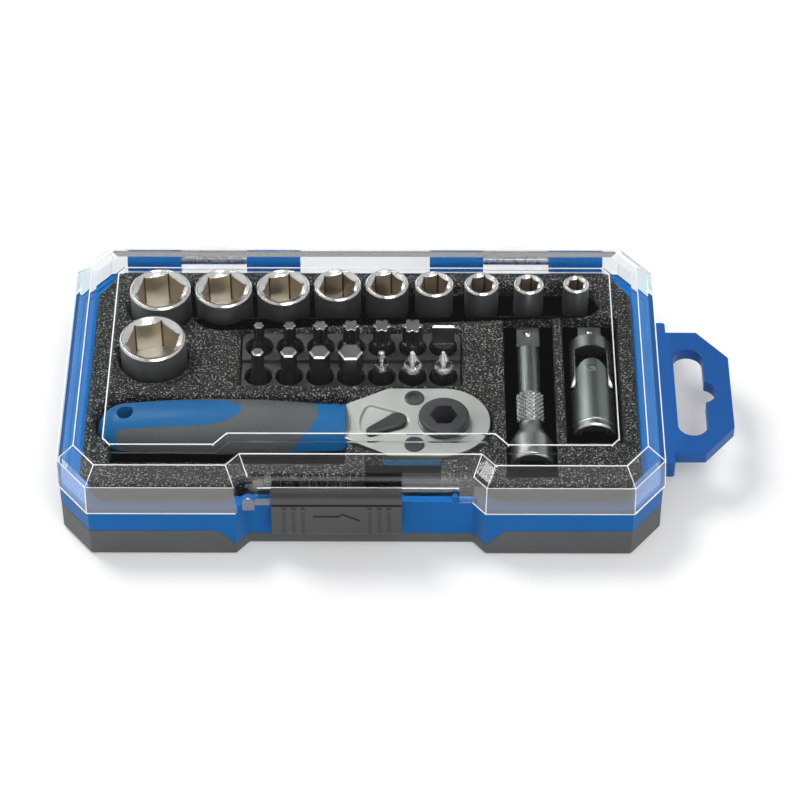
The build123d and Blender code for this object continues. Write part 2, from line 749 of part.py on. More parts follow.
def make_socket(flats, diameter, place):
    """One socket standing on its drive end, with the hexagon opening upwards."""
    foot = Plane((place[0], place[1], stand))
    radius = diameter / 2
    drive_radius = max(diameter, socket_drive_diameter) / 2
    cone = drive_radius - radius
    mouth_radius = radius - socket_rim
    mouth_depth = (mouth_radius - flats / 2) * socket_mouth_slope
    with BuildPart() as socket:
        with BuildSketch(Plane((place[0], place[1], stand), x_dir=(1, 0, 0), z_dir=(0, -1, 0))):
            Polygon((0, 0), (drive_radius - socket_edge, 0), (drive_radius, socket_edge),
                    (drive_radius, socket_drive_length), (radius, socket_drive_length + cone),
                    (radius, socket_length - socket_edge), (radius - socket_edge, socket_length),
                    (mouth_radius, socket_length), (flats / 2, socket_length - mouth_depth),
                    (0, socket_length - mouth_depth), align=None)
        revolve(axis=Axis((place[0], place[1], stand), (0, 0, 1)))
        with BuildSketch(foot.offset(socket_length)):
            RegularPolygon(flats / 2, 6, major_radius=False, rotation=15)
        extrude(amount=-socket_hex_depth, mode=Mode.SUBTRACT)
        with BuildSketch(foot):
            Rectangle(drive_hole_square, drive_hole_square)
        extrude(amount=drive_hole_depth, mode=Mode.SUBTRACT)
        with BuildSketch(foot):
            Circle(min(flats, drive_square) / 2 - socket_edge)
        extrude(amount=socket_length, mode=Mode.SUBTRACT)
    save(socket, f"socket_{round(flats):02d}mm")


for (flats, diameter), place in zip(row_sockets, row_places):
    make_socket(flats, diameter, place)
make_socket(big_socket[0], big_socket[1], (big_socket_x, big_socket_y))


def bit_blank(place, tip_diameter):
    """Hexagon shank and round neck of a bit, up to where its tip starts."""
    foot = Plane((place[0], place[1], back_bit_foot))
    with BuildPart() as blank:
        with BuildSketch(foot):
            RegularPolygon(bit_hex / 2, 6, major_radius=False)
        extrude(amount=bit_shank_length)
        chamfer(blank.faces().sort_by(Axis.Z)[0].edges(), length=bit_end_chamfer)
        with BuildSketch(foot.offset(bit_shank_length)):
            Circle(bit_hex / 2 - bit_end_chamfer / 2)
        with BuildSketch(foot.offset(bit_length - bit_tip_length)):
            Circle(tip_diameter / 2)
        loft()
    return blank.part


def make_star_bit(name, diameter, place):
    """A bit with a six-lobed tip."""
    with BuildPart() as bit:
        add(bit_blank(place, diameter))
        with BuildSketch(Plane((place[0], place[1], back_bit_foot + bit_length - bit_tip_length))):
            Circle(star_core_share * diameter)
            with PolarLocations(star_core_share * diameter, 6):
                Circle(star_lobe_share * diameter)
        extrude(amount=bit_tip_length)
    save(bit, f"bit_star_{name}")


def make_hex_bit(name, flats, place):
    """A bit with a hexagon tip."""
    with BuildPart() as bit:
        add(bit_blank(place, flats))
        with BuildSketch(Plane((place[0], place[1], back_bit_foot + bit_length - bit_tip_length))):
            RegularPolygon(flats / 2, 6, major_radius=False)
        extrude(amount=bit_tip_length)
    save(bit, f"bit_{name}")


def make_slot_bit(name, blade_width, blade_thickness, place):
    """A bit with a flat blade."""
    tip = Plane((place[0], place[1], back_bit_foot + bit_length - bit_tip_length))
    with BuildPart() as bit:
        add(bit_blank(place, blade_width))
        with BuildSketch(tip):
            Rectangle(blade_width, 2 * blade_thickness)
        with BuildSketch(tip.offset(bit_tip_length)):
            Rectangle(blade_width, blade_thickness)
        loft()
    save(bit, f"bit_{name}")


def make_cross_bit(name, diameter, point_diameter, place):
    """A bit with four wings that run to a point."""
    tip = Plane((place[0], place[1], back_bit_foot + bit_length - bit_tip_length))
    with BuildPart() as bit:
        add(bit_blank(place, diameter))
        with BuildSketch(tip):
            Circle(diameter / 2)
        with BuildSketch(tip.offset(bit_tip_length)):
            Circle(point_diameter / 2)
        loft()
        with BuildSketch(tip.offset(cross_flute_start)):
            with PolarLocations(cross_flute_place * diameter, 4, start_angle=45):
                Circle(cross_flute_share * diameter)
        extrude(amount=bit_tip_length, mode=Mode.SUBTRACT)
    save(bit, f"bit_{name}")


for (name, diameter), column in zip(star_bits, bit_column):
    make_star_bit(name, diameter, (column, back_row_y))
make_slot_bit(*slot_bit, (bit_column[-1], back_row_y))
for (name, flats), column in zip(hex_bits, bit_column):
    make_hex_bit(name, flats, (column, front_row_y))
for (name, diameter, point), column in zip(cross_bits, bit_column[len(hex_bits):]):
    make_cross_bit(name, diameter, point, (column, front_row_y))

# Extension bar lying along Y: square drive at the back, knurled grip, socket end at the front
bar_plane = Plane((extension_x, 0, tool_axis))
bar_axis = Axis((extension_x, 0, tool_axis), (0, 1, 0))
end_back = extension_front + extension_end_length
knurl_front = end_back + extension_shoulder
knurl_back = knurl_front + extension_knurl_length
square_front = extension_back - extension_square_length
end_radius = extension_end_diameter / 2
neck_radius = extension_neck_diameter / 2
knurl_radius = extension_knurl_diameter / 2
shank_radius = extension_shank_diameter / 2
ball_radius = detent_ball_diameter / 2
ball_bore_depth = detent_ball_diameter - detent_ball_proud + detent_travel + ball_clearance
drive_top = tool_axis + drive_square / 2
with BuildPart() as extension_bar:
    with BuildSketch(bar_plane):
        Polygon((0, extension_front), (end_radius - socket_edge, extension_front),
                (end_radius, extension_front + socket_edge), (end_radius, end_back - extension_shoulder),
                (neck_radius, end_back + extension_shoulder / 2), (neck_radius, knurl_front),
                (knurl_radius, knurl_front + socket_edge), (knurl_radius, knurl_back - socket_edge),
                (shank_radius, knurl_back), (shank_radius, square_front), (0, square_front), align=None)
    revolve(axis=bar_axis)
    with Locations((extension_x, square_front, tool_axis)):
        Box(drive_square, extension_square_length, drive_square, align=from_front)
    chamfer(extension_bar.faces().sort_by(Axis.Y)[-1].edges(), length=socket_edge)
    with Locations((extension_x, extension_front, tool_axis)):
        Box(drive_hole_square, drive_hole_depth, drive_hole_square, align=from_front,
            mode=Mode.SUBTRACT)
    with BuildSketch(Plane((extension_x, extension_back - detent_ball_setback, drive_top))):
        Circle(ball_radius + ball_clearance)
    extrude(amount=-ball_bore_depth, mode=Mode.SUBTRACT)
save(extension_bar, "extension_bar")


def make_ball(label, ball_x, ball_y):
    """A detent ball standing a little proud of a square drive's upper face."""
    with BuildPart() as ball:
        with Locations((ball_x, ball_y, drive_top + detent_ball_proud - ball_radius)):
            Sphere(ball_radius)
    save(ball, label)


make_ball("extension_ball", extension_x, extension_back - detent_ball_setback)

# Universal joint lying along Y: square drive fork at the back, spider in the middle, socket fork at the front
collar_front = joint_pivot + joint_fork_reach + joint_eye_radius
collar_back = collar_front + joint_collar_length
body_back = joint_pivot - joint_body_reach - joint_eye_radius
cheek_inside = joint_block_half + joint_gap
joint_radius = joint_diameter / 2
pivot_side = Plane((joint_x, joint_pivot, tool_axis), x_dir=(0, 1, 0), z_dir=(1, 0, 0))
pivot_top = Plane((joint_x, joint_pivot, tool_axis))


def joint_section(y):
    """Plane across the universal joint's axis at a place along Y, facing the back."""
    return Plane((joint_x, y, tool_axis), x_dir=(1, 0, 0), z_dir=(0, 1, 0))


with BuildPart() as joint_drive_fork:
    with BuildSketch(joint_section(joint_pivot - joint_eye_radius)):
        Circle(joint_radius)
    extrude(amount=collar_back - joint_pivot + joint_eye_radius)
    chamfer(joint_drive_fork.faces().sort_by(Axis.Y)[-1].edges(), length=2 * socket_edge)
    with BuildSketch(pivot_side):
        Circle(joint_eye_radius)
        Rectangle(collar_front - joint_pivot, 2 * joint_eye_radius, align=(Align.MIN, Align.CENTER))
        with Locations((collar_front - joint_pivot, 0)):
            Rectangle(joint_collar_length, joint_diameter, align=(Align.MIN, Align.CENTER))
    extrude(amount=joint_radius, both=True, mode=Mode.INTERSECT)
    with Locations((joint_x, joint_pivot - joint_eye_radius, tool_axis)):
        Box(2 * cheek_inside, collar_front - joint_pivot + joint_eye_radius, joint_diameter,
            align=from_front, mode=Mode.SUBTRACT)
    with Locations((joint_x, collar_back, tool_axis)):
        Box(drive_square, joint_square_length, drive_square, align=from_front)
    chamfer(joint_drive_fork.faces().sort_by(Axis.Y)[-1].edges(), length=socket_edge)
    with BuildSketch(pivot_side):
        Circle(joint_pin_diameter / 2 + running_clearance)
    extrude(amount=joint_radius, both=True, mode=Mode.SUBTRACT)
    with BuildSketch(Plane((joint_x, joint_back - joint_ball_setback, drive_top))):
        Circle(ball_radius + ball_clearance)
    extrude(amount=-ball_bore_depth, mode=Mode.SUBTRACT)
save(joint_drive_fork, "joint_drive_fork")

make_ball("joint_ball", joint_x, joint_back - joint_ball_setback)

with BuildPart() as joint_spider:
    with Locations((joint_x, joint_pivot, tool_axis)):
        Box(2 * joint_block_half, joint_block_length, 2 * joint_block_half)
    chamfer(joint_spider.edges(), length=joint_block_edge)
    with BuildSketch(pivot_side):
        Circle(joint_pin_diameter / 2)
    extrude(amount=joint_radius - joint_gap, both=True)
    with BuildSketch(pivot_top):
        Circle(joint_pin_diameter / 2)
    extrude(amount=joint_radius - joint_gap, both=True)
save(joint_spider, "joint_spider")

with BuildPart() as joint_socket_fork:
    with BuildSketch(joint_section(joint_front)):
        Circle(joint_radius)
    extrude(amount=joint_pivot + joint_eye_radius - joint_front)
    chamfer(joint_socket_fork.faces().sort_by(Axis.Y)[0].edges(), length=socket_edge)
    with BuildSketch(pivot_top):
        Circle(joint_eye_radius)
        Rectangle(2 * joint_eye_radius, joint_pivot - body_back, align=(Align.CENTER, Align.MAX))
        with Locations((0, body_back - joint_pivot)):
            Rectangle(joint_diameter, joint_socket_length, align=(Align.CENTER, Align.MAX))
    extrude(amount=joint_radius, both=True, mode=Mode.INTERSECT)
    with Locations((joint_x, body_back, tool_axis)):
        Box(joint_diameter, joint_pivot + joint_eye_radius - body_back, 2 * cheek_inside,
            align=from_front, mode=Mode.SUBTRACT)
    with Locations((joint_x, joint_front, tool_axis)):
        Box(drive_hole_square, drive_hole_depth, drive_hole_square, align=from_front,
            mode=Mode.SUBTRACT)
    with BuildSketch(joint_section(joint_front + joint_ring_setback)):
        Circle(joint_radius)
        Circle(joint_radius - joint_ring_depth, mode=Mode.SUBTRACT)
    extrude(amount=joint_ring_width, mode=Mode.SUBTRACT)
    with BuildSketch(pivot_top):
        Circle(joint_pin_diameter / 2 + running_clearance)
    extrude(amount=joint_radius, both=True, mode=Mode.SUBTRACT)
save(joint_socket_fork, "joint_socket_fork")

# Ratchet head: a housing with a gear and a rocking pawl under a screwed cover
cover_bottom = plate_top - cover_thickness
head_floor = cover_bottom - gear_thickness - 2 * gear_side_gap
gear_bottom = head_floor + gear_side_gap
gear_top = gear_bottom + gear_thickness
lever_x = head_x - lever_setback
cavity_left = lever_x - pawl_hub_radius - pawl_clearance - spring_thickness
pawl_reach = pawl_inner_radius + pawl_thickness_radial
cavity_half = pawl_reach * sin(radians(pawl_spread + pawl_swing))
shaft_foot = (head_bottom + head_floor) / 2
screw_x = head_x - screw_setback
screw_places = [(screw_x, ratchet_y - screw_spread), (screw_x, ratchet_y + screw_spread)]
screw_head_bottom = plate_top + screw_proud - screw_head_height

with BuildPart() as ratchet_head:
    with BuildSketch(Plane.XY.offset(head_bottom)):
        head_sketch(0)
    extrude(amount=cover_bottom - head_bottom)
    with Locations((handle_end, ratchet_y, ratchet_axis)):
        Box(tang_length, tang_width, tang_height, align=from_right)
    with BuildSketch(Plane.XY.offset(head_floor)):
        with Locations((head_x, ratchet_y)):
            Circle(gear_radius + pawl_clearance)
        box_sketch(cavity_left, head_x, ratchet_y - cavity_half, ratchet_y + cavity_half, 0)
    extrude(amount=head_thickness, mode=Mode.SUBTRACT)
    with BuildSketch(Plane.XY.offset(head_bottom)):
        with Locations((head_x, ratchet_y)):
            Circle(lower_boss_radius + running_clearance)
    extrude(amount=head_thickness, mode=Mode.SUBTRACT)
    with BuildSketch(Plane.XY.offset(shaft_foot)):
        with Locations((lever_x, ratchet_y)):
            Circle(lever_shaft_radius + running_clearance)
    extrude(amount=head_thickness, mode=Mode.SUBTRACT)
    with BuildSketch(Plane.XY.offset(screw_head_bottom - screw_length)):
        with Locations(*screw_places):
            Circle(screw_shank_radius + press_clearance)
    extrude(amount=head_thickness, mode=Mode.SUBTRACT)
save(ratchet_head, "ratchet_head")

with BuildPart() as ratchet_cover:
    with BuildSketch(Plane.XY.offset(cover_bottom)):
        head_sketch(0)
        with Locations((head_x, ratchet_y)):
            Circle(boss_radius + running_clearance, mode=Mode.SUBTRACT)
        with Locations((lever_x, ratchet_y)):
            Circle(lever_shaft_radius + running_clearance, mode=Mode.SUBTRACT)
        with Locations(*screw_places):
            Circle(screw_shank_radius + press_clearance, mode=Mode.SUBTRACT)
    extrude(amount=cover_thickness)
    with BuildSketch(Plane((lever_x, ratchet_y, plate_top))):
        with BuildLine():
            sweep_radius = lever_length + lever_recess_margin
            sweep_arc = CenterArc((0, 0), sweep_radius, 180 - lever_swing / 2, lever_swing)
            Line((0, 0), sweep_arc @ 0)
            Line(sweep_arc @ 1, (0, 0))
        make_face()
    extrude(amount=-cover_recess, mode=Mode.SUBTRACT)
    for side in (-1, 1):
        with BuildSketch(Plane((lever_x, ratchet_y, plate_top)).rotated((0, 0, side * lever_swing / 2))):
            Circle(lever_eye_radius + lever_recess_margin)
            with Locations((lever_tip_radius - lever_length, 0)):
                Circle(lever_tip_radius + lever_recess_margin)
            make_hull()
        extrude(amount=-cover_recess, mode=Mode.SUBTRACT)
    with BuildSketch(Plane.XY.offset(screw_head_bottom)):
        with Locations(*screw_places):
            Circle(screw_head_radius + press_clearance)
    extrude(amount=screw_head_height, mode=Mode.SUBTRACT)
save(ratchet_cover, "ratchet_cover")

with BuildPart() as cover_screws:
    with BuildSketch(Plane.XY.offset(screw_head_bottom)):
        with Locations(*screw_places):
            Circle(screw_head_radius)
    extrude(amount=screw_head_height)
    with BuildSketch(Plane.XY.offset(screw_head_bottom)):
        with Locations(*screw_places):
            Circle(screw_shank_radius)
    extrude(amount=-screw_length)
save(cover_screws, "cover_screws")

with BuildPart() as drive_gear:
    with BuildSketch(Plane((head_x, ratchet_y, gear_bottom))):
        Circle(gear_radius - gear_tooth_depth)
        half_tooth = pi * (gear_radius - gear_tooth_depth) / gear_teeth
        with PolarLocations(gear_radius - gear_tooth_depth, gear_teeth):
            Polygon((-gear_tooth_depth, -half_tooth), (gear_tooth_depth, 0), (-gear_tooth_depth, half_tooth),
                    align=None)
    extrude(amount=gear_thickness)
    with BuildSketch(Plane((head_x, ratchet_y, gear_top))):
        Circle(boss_radius)
    extrude(amount=plate_top + boss_proud - gear_top)
    chamfer(drive_gear.faces().sort_by(Axis.Z)[-1].edges(), length=socket_edge)
    with BuildSketch(Plane((head_x, ratchet_y, gear_bottom))):
        Circle(lower_boss_radius)
    extrude(amount=head_bottom - gear_bottom)
    with BuildSketch(Plane((head_x, ratchet_y, head_bottom))):
        Rectangle(drive_square, drive_square)
    extrude(amount=-square_drive_length)
    with BuildSketch(Plane((head_x, ratchet_y, plate_top + boss_proud))):
        RegularPolygon(bit_hex / 2 + running_clearance, 6, major_radius=False)
    extrude(amount=-bit_hole_depth, mode=Mode.SUBTRACT)
save(drive_gear, "drive_gear")

lever_bottom = plate_top - cover_recess + press_clearance
with BuildPart() as reversing_lever:
    with BuildSketch(Plane((lever_x, ratchet_y, lever_bottom)).rotated((0, 0, lever_swing / 2))):
        Circle(lever_eye_radius)
        with Locations((lever_tip_radius - lever_length, 0)):
            Circle(lever_tip_radius)
        make_hull()
    extrude(amount=lever_thickness)
    chamfer(reversing_lever.faces().sort_by(Axis.Z)[-1].edges(), length=socket_edge)
    with BuildSketch(Plane((lever_x, ratchet_y, lever_bottom))):
        Circle(lever_shaft_radius)
    extrude(amount=shaft_foot - lever_bottom)
save(reversing_lever, "reversing_lever")

pawl_bottom = (head_floor + cover_bottom - pawl_height) / 2
pawl_turn = pawl_swing / 2
with BuildPart() as ratchet_pawl:
    with BuildSketch(Plane((lever_x, ratchet_y, pawl_bottom)).rotated((0, 0, pawl_turn))):
        with BuildLine():
            outer_arc = CenterArc((lever_setback, 0), pawl_reach, 180 - pawl_spread, 2 * pawl_spread)
            inner_arc = CenterArc((lever_setback, 0), pawl_inner_radius, 180 - pawl_spread, 2 * pawl_spread)
            Line(outer_arc @ 0, inner_arc @ 0)
            Line(outer_arc @ 1, inner_arc @ 1)
        make_face()
        Circle(pawl_hub_radius)
        Circle(lever_shaft_radius + running_clearance, mode=Mode.SUBTRACT)
    extrude(amount=pawl_height)
save(ratchet_pawl, "ratchet_pawl")

with BuildPart() as pawl_spring:
    with Locations((cavity_left, ratchet_y, pawl_bottom + pawl_height / 2)):
        Box(spring_thickness, spring_length, spring_width, align=from_left)
save(pawl_spring, "pawl_spring")

# Ratchet handle: a blue core with collar, butt and tongue, and a grey grip around it
handle_length = handle_end - ratchet_butt
grip_end = handle_length - collar_length


def handle_body(inset):
    """Turn the handle's shape about its length, moved inwards by the inset."""
    with BuildPart() as body:
        with BuildSketch(Plane((ratchet_butt, ratchet_y, ratchet_axis))):
            with BuildLine():
                butt = CenterArc((butt_radius, 0), butt_radius - inset, 90, 90)
                side = ThreePointArc(butt @ 0, (handle_swell, handle_radius - inset),
                                     (grip_end, grip_end_radius - inset))
                edge = Line(side @ 1, (handle_length, collar_radius - inset))
                Polyline(edge @ 1, (handle_length, 0), (inset, 0))
            make_face()
        revolve(axis=Axis((ratchet_butt, ratchet_y, ratchet_axis), (1, 0, 0)))
    return body.part


handle_outside = handle_body(0)
handle_inside = handle_body(grip_thickness)
with BuildPart() as tongue:
    with BuildSketch(Plane((ratchet_butt, ratchet_y, ratchet_axis + tongue_floor))):
        Rectangle(tongue_straight, 2 * tongue_half_width, align=(Align.MIN, Align.CENTER))
        with Locations((tongue_straight, 0)):
            Ellipse(tongue_tip, tongue_half_width)
    extrude(amount=handle_radius)
    with Locations((ratchet_butt, ratchet_y, ratchet_axis)):
        Box(butt_length, 2 * handle_radius, 2 * handle_radius, align=from_left)
    with BuildSketch(Plane((handle_end, ratchet_y, ratchet_axis), x_dir=(1, 0, 0), z_dir=(0, -1, 0))):
        with BuildLine():
            sweep = ThreePointArc((-collar_top, handle_radius), (-collar_side, collar_side_rise),
                                  (-collar_under, -handle_radius))
            Polyline(sweep @ 1, (0, -handle_radius), (0, handle_radius), sweep @ 0)
        make_face()
    extrude(amount=handle_radius, both=True)
    add(handle_outside, mode=Mode.INTERSECT)

with BuildPart() as handle_core:
    add(handle_inside)
    add(tongue.part)
    with Locations((handle_end, ratchet_y, ratchet_axis)):
        Box(tang_length, tang_width, tang_height, align=from_right, mode=Mode.SUBTRACT)
    with Locations((ratchet_butt + hang_hole_setback, ratchet_y, ratchet_axis)):
        Cylinder(hang_hole_diameter / 2, 2 * handle_radius, mode=Mode.SUBTRACT)
save(handle_core, "handle_core")

with BuildPart() as handle_grip:
    add(handle_outside)
    add(handle_inside, mode=Mode.SUBTRACT)
    add(tongue.part, mode=Mode.SUBTRACT)
    with Locations((ratchet_butt + hang_hole_setback, ratchet_y, ratchet_axis)):
        Cylinder(hang_hole_diameter / 2, 2 * handle_radius, mode=Mode.SUBTRACT)
save(handle_grip, "handle_grip")
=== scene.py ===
"""Looks of the socket wrench set in its case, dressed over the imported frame."""
import json
import logging
import math
from collections.abc import Callable
from dataclasses import dataclass
from enum import Enum, IntEnum

import bpy
from mathutils import Matrix, Vector

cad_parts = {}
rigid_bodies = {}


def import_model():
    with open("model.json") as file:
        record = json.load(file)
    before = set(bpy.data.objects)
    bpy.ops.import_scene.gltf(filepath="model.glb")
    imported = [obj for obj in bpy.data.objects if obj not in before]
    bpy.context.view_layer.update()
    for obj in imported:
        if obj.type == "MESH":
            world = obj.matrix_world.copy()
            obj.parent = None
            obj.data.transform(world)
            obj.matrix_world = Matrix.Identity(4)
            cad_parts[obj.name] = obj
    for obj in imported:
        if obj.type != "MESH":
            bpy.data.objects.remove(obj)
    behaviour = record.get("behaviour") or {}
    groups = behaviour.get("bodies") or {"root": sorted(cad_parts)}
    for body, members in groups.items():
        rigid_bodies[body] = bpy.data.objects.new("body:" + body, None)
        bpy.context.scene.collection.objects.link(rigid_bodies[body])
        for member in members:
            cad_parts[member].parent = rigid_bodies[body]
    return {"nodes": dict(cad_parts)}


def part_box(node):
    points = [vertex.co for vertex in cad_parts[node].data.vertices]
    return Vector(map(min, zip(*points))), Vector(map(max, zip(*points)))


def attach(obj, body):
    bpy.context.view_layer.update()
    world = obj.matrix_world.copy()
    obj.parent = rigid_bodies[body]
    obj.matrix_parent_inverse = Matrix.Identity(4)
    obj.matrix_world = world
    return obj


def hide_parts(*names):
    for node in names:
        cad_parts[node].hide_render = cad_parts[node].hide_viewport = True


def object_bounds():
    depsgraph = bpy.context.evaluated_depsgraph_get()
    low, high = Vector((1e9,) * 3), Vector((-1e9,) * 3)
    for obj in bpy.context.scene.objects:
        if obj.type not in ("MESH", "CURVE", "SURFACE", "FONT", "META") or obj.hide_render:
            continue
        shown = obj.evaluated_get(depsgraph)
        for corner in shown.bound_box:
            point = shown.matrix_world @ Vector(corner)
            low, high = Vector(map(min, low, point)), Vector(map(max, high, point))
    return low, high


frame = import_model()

CAD_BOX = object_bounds()
MM = 0.001
SAME_POINT = 0.001 * MM  # corners this close are merged
CLOSE = 0.01 * MM
NEAR = 0.05 * MM
UPRIGHT = 0.3  # a wall's normal rises less than this
LEVEL = 0.9  # the normal of a level face rises more than this
RGB = tuple[float, float, float]
Face = bpy.types.MeshPolygon
Piece = bpy.types.Object
Material = bpy.types.Material
Socket = bpy.types.NodeSocket
Tree = bpy.types.NodeTree
logging.basicConfig(level=logging.INFO, format="%(name)s: %(message)s")
LOG = logging.getLogger("socket_set")


def set_inputs(tree: Tree, node: bpy.types.Node, inputs: dict) -> None:
    """Set or link a node's inputs.

    Args:
        tree: The node tree that holds the node.
        node: The node.
        inputs: For each input's name or number, a value or the socket to link.
    """
    for name, value in inputs.items():
        if isinstance(value, Socket):
            tree.links.new(value, node.inputs[name])
        else:
            node.inputs[name].default_value = value


def add_node(tree: Tree, kind: str, inputs: dict | None = None, **settings: object) -> bpy.types.Node:
    """Add a shader node.

    Args:
        tree: The node tree to add to.
        kind: The node's type, without its prefix.
        inputs: Values or sockets for its inputs.
        settings: The node's own properties.

    Returns:
        The node.
    """
    node = tree.nodes.new("ShaderNode" + kind)
    for name, value in settings.items():
        setattr(node, name, value)
    set_inputs(tree, node, inputs or {})
    return node


def rgba(colour: RGB) -> tuple[float, float, float, float]:
    """Give a colour with full alpha."""
    return (*colour, 1.0)


class Effect(Enum):
    """Surface effects that several finishes share as node groups."""

    GRAIN = "moulded_grain"
    BRUSH = "brushed_lines"
    FILM = "handling_film"


class EffectLibrary:
    """The shared node groups, each built once."""

    kinds = {"Place": "Vector", "Colour": "Color", "Shade": "Color"}
    pebble_share = 0.8
    pebble_range = {"From Min": 0.5, "From Max": 1.2}
    line_range = {"From Min": 0.3, "From Max": 0.7}
    cloud_range = {"From Min": 0.35, "From Max": 0.65}

    def __init__(self) -> None:
        """Build the groups."""
        self.groups = {Effect.GRAIN: self.grain(), Effect.BRUSH: self.brush(), Effect.FILM: self.film()}

    def start(self, effect: Effect, own: tuple[str, str], outputs: tuple[str, ...]) -> tuple:
        """Make an empty group with its sockets.

        Args:
            effect: The effect that the group is for.
            own: Names of its two inputs beside Place and Scale.
            outputs: Names of its outputs.

        Returns:
            The group, its input sockets, its output node, and what places a texture in it.
        """
        tree = bpy.data.node_groups.new(effect.value, "ShaderNodeTree")
        for side, names in (("INPUT", ("Place", "Scale", *own)), ("OUTPUT", outputs)):
            for name in names:
                kind = "NodeSocket" + self.kinds.get(name, "Float")
                tree.interface.new_socket(name=name, in_out=side, socket_type=kind)
        source = tree.nodes.new("NodeGroupInput").outputs
        placing = {"Vector": source["Place"], "Scale": source["Scale"]}
        return tree, source, tree.nodes.new("NodeGroupOutput"), placing

    def grain(self) -> Tree:
        """Pebbled moulding grain: a height, and a roughness and a mask that follow it; the mask places the painted
        glints.
        """
        tree, source, sink, placing = self.start(
            Effect.GRAIN, ("Low Roughness", "High Roughness"), ("Height", "Roughness", "Mask"))
        pebble = add_node(tree, "TexVoronoi", {**placing, "Smoothness": 0.6}, feature="SMOOTH_F1")
        noise = add_node(tree, "TexNoise", {**placing, "Detail": 3.0})
        blend = {0: pebble.outputs["Distance"], 1: self.pebble_share, 2: noise.outputs["Fac"]}
        height = add_node(tree, "Math", blend, operation="MULTIPLY_ADD").outputs[0]
        spread = {"Value": height, **self.pebble_range}
        rough = add_node(tree, "MapRange", {
            **spread, "To Min": source["Low Roughness"], "To Max": source["High Roughness"]})
        mask = add_node(tree, "MapRange", spread)
        set_inputs(tree, sink, {"Height": height, "Roughness": rough.outputs["Result"], "Mask": mask.outputs["Result"]})
        return tree

    def brush(self) -> Tree:
        """Fine drawn lines of satin metal: a height, and a roughness that follows it."""
        tree, source, sink, placing = self.start(
            Effect.BRUSH, ("Low Roughness", "High Roughness"), ("Height", "Roughness"))
        height = add_node(tree, "TexNoise", {**placing, "Detail": 4.0, "Roughness": 0.7}).outputs["Fac"]
        rough = add_node(tree, "MapRange", {
            "Value": height, **self.line_range, "To Min": source["Low Roughness"], "To Max": source["High Roughness"]})
        set_inputs(tree, sink, {"Height": height, "Roughness": rough.outputs["Result"]})
        return tree

    def film(self) -> Tree:
        """Uneven colour from handling and from the mould's flow."""
        tree, source, sink, placing = self.start(Effect.FILM, ("Colour", "Shade"), ("Colour",))
        cloud = add_node(tree, "TexNoise", {**placing, "Detail": 5.0})
        ramp = add_node(tree, "MapRange", {"Value": cloud.outputs["Fac"], **self.cloud_range})
        mix = add_node(tree, "Mix", {
            "Factor": ramp.outputs["Result"], "A": source["Colour"], "B": source["Shade"]}, data_type="RGBA")
        set_inputs(tree, sink, {"Colour": mix.outputs["Result"]})
        return tree


EFFECTS = EffectLibrary()


def new_material(name: str) -> tuple[Material, Tree, bpy.types.Node]:
    """Make a material with a bare Principled shader.

    Args:
        name: The finish's name.

    Returns:
        The material, its node tree and its Principled node.
    """
    material = bpy.data.materials.new(name)
    material.use_nodes = True
    return material, material.node_tree, material.node_tree.nodes["Principled BSDF"]


def place_group(tree: Tree, effect: Effect, values: dict) -> bpy.types.NodeOutputs:
    """Place a shared effect in a material, on object coordinates.

    Args:
        tree: The material's node tree.
        effect: The effect to place.
        values: Values of the group's own inputs.

    Returns:
        The group's output sockets.
    """
    place = add_node(tree, "TexCoord").outputs["Object"]
    return add_node(tree, "Group", {"Place": place, **values}, node_tree=EFFECTS.groups[effect]).outputs


@dataclass(frozen=True)
class GrainedFinish:
    """An opaque finish: two colours that drift, and a relief that sets roughness and bump."""

    name: str
    colour: RGB
    shade: RGB
    roughness: tuple[float, float]
    scale: float
    strength: float
    depth: float
    drift: float

    def start(self, effect: Effect) -> tuple[Material, Socket, bpy.types.NodeOutputs]:
        """Make the material with its drifting colour and its relief.

        Args:
            effect: The effect that gives the relief.

        Returns:
            The material, its colour's socket and the relief's sockets.
        """
        material, tree, shader = new_material(self.name)
        film = place_group(tree, Effect.FILM, {
            "Scale": self.drift, "Colour": rgba(self.colour), "Shade": rgba(self.shade)})
        relief = place_group(tree, effect, {
            "Scale": self.scale, "Low Roughness": self.roughness[0], "High Roughness": self.roughness[1]})
        bump = add_node(tree, "Bump", {"Height": relief["Height"], "Strength": self.strength, "Distance": self.depth})
        set_inputs(tree, shader, {
            "Base Color": film["Colour"], "Roughness": relief["Roughness"], "Normal": bump.outputs["Normal"]})
        return material, film["Colour"], relief


@dataclass(frozen=True)
class PlasticFinish(GrainedFinish):
    """A moulded plastic or rubber with a grain, which may have lighter tips: painted glints on the grain's peaks."""

    depth: float = 0.05 * MM
    drift: float = 40.0
    specular: float = 0.5
    painted_glint: RGB | None = None
    painted_glint_start: float = 0.66

    def make(self) -> Material:
        """Build the material."""
        material, colour, grain = self.start(Effect.GRAIN)
        tree = material.node_tree
        shader = tree.nodes["Principled BSDF"]
        # painted glints: a light colour on the grain's peaks stands for the sheen that catches there
        if self.painted_glint is not None:
            glint_tips = add_node(tree, "MapRange", {"Value": grain["Mask"], "From Min": self.painted_glint_start, "From Max": 1.0})
            mix = add_node(tree, "Mix", {
                "Factor": glint_tips.outputs["Result"], "A": colour, "B": rgba(self.painted_glint)}, data_type="RGBA")
            set_inputs(tree, shader, {"Base Color": mix.outputs["Result"]})
        set_inputs(tree, shader, {"Specular IOR Level": self.specular})
        return material


@dataclass(frozen=True)
class MetalFinish(GrainedFinish):
    """A plated, drawn or coated metal with fine lines."""

    scale: float = 900.0
    strength: float = 0.15
    depth: float = 0.03 * MM
    drift: float = 60.0
    metallic: float = 1.0

    def make(self) -> Material:
        """Build the material."""
        material = self.start(Effect.BRUSH)[0]
        material.node_tree.nodes["Principled BSDF"].inputs["Metallic"].default_value = self.metallic
        return material


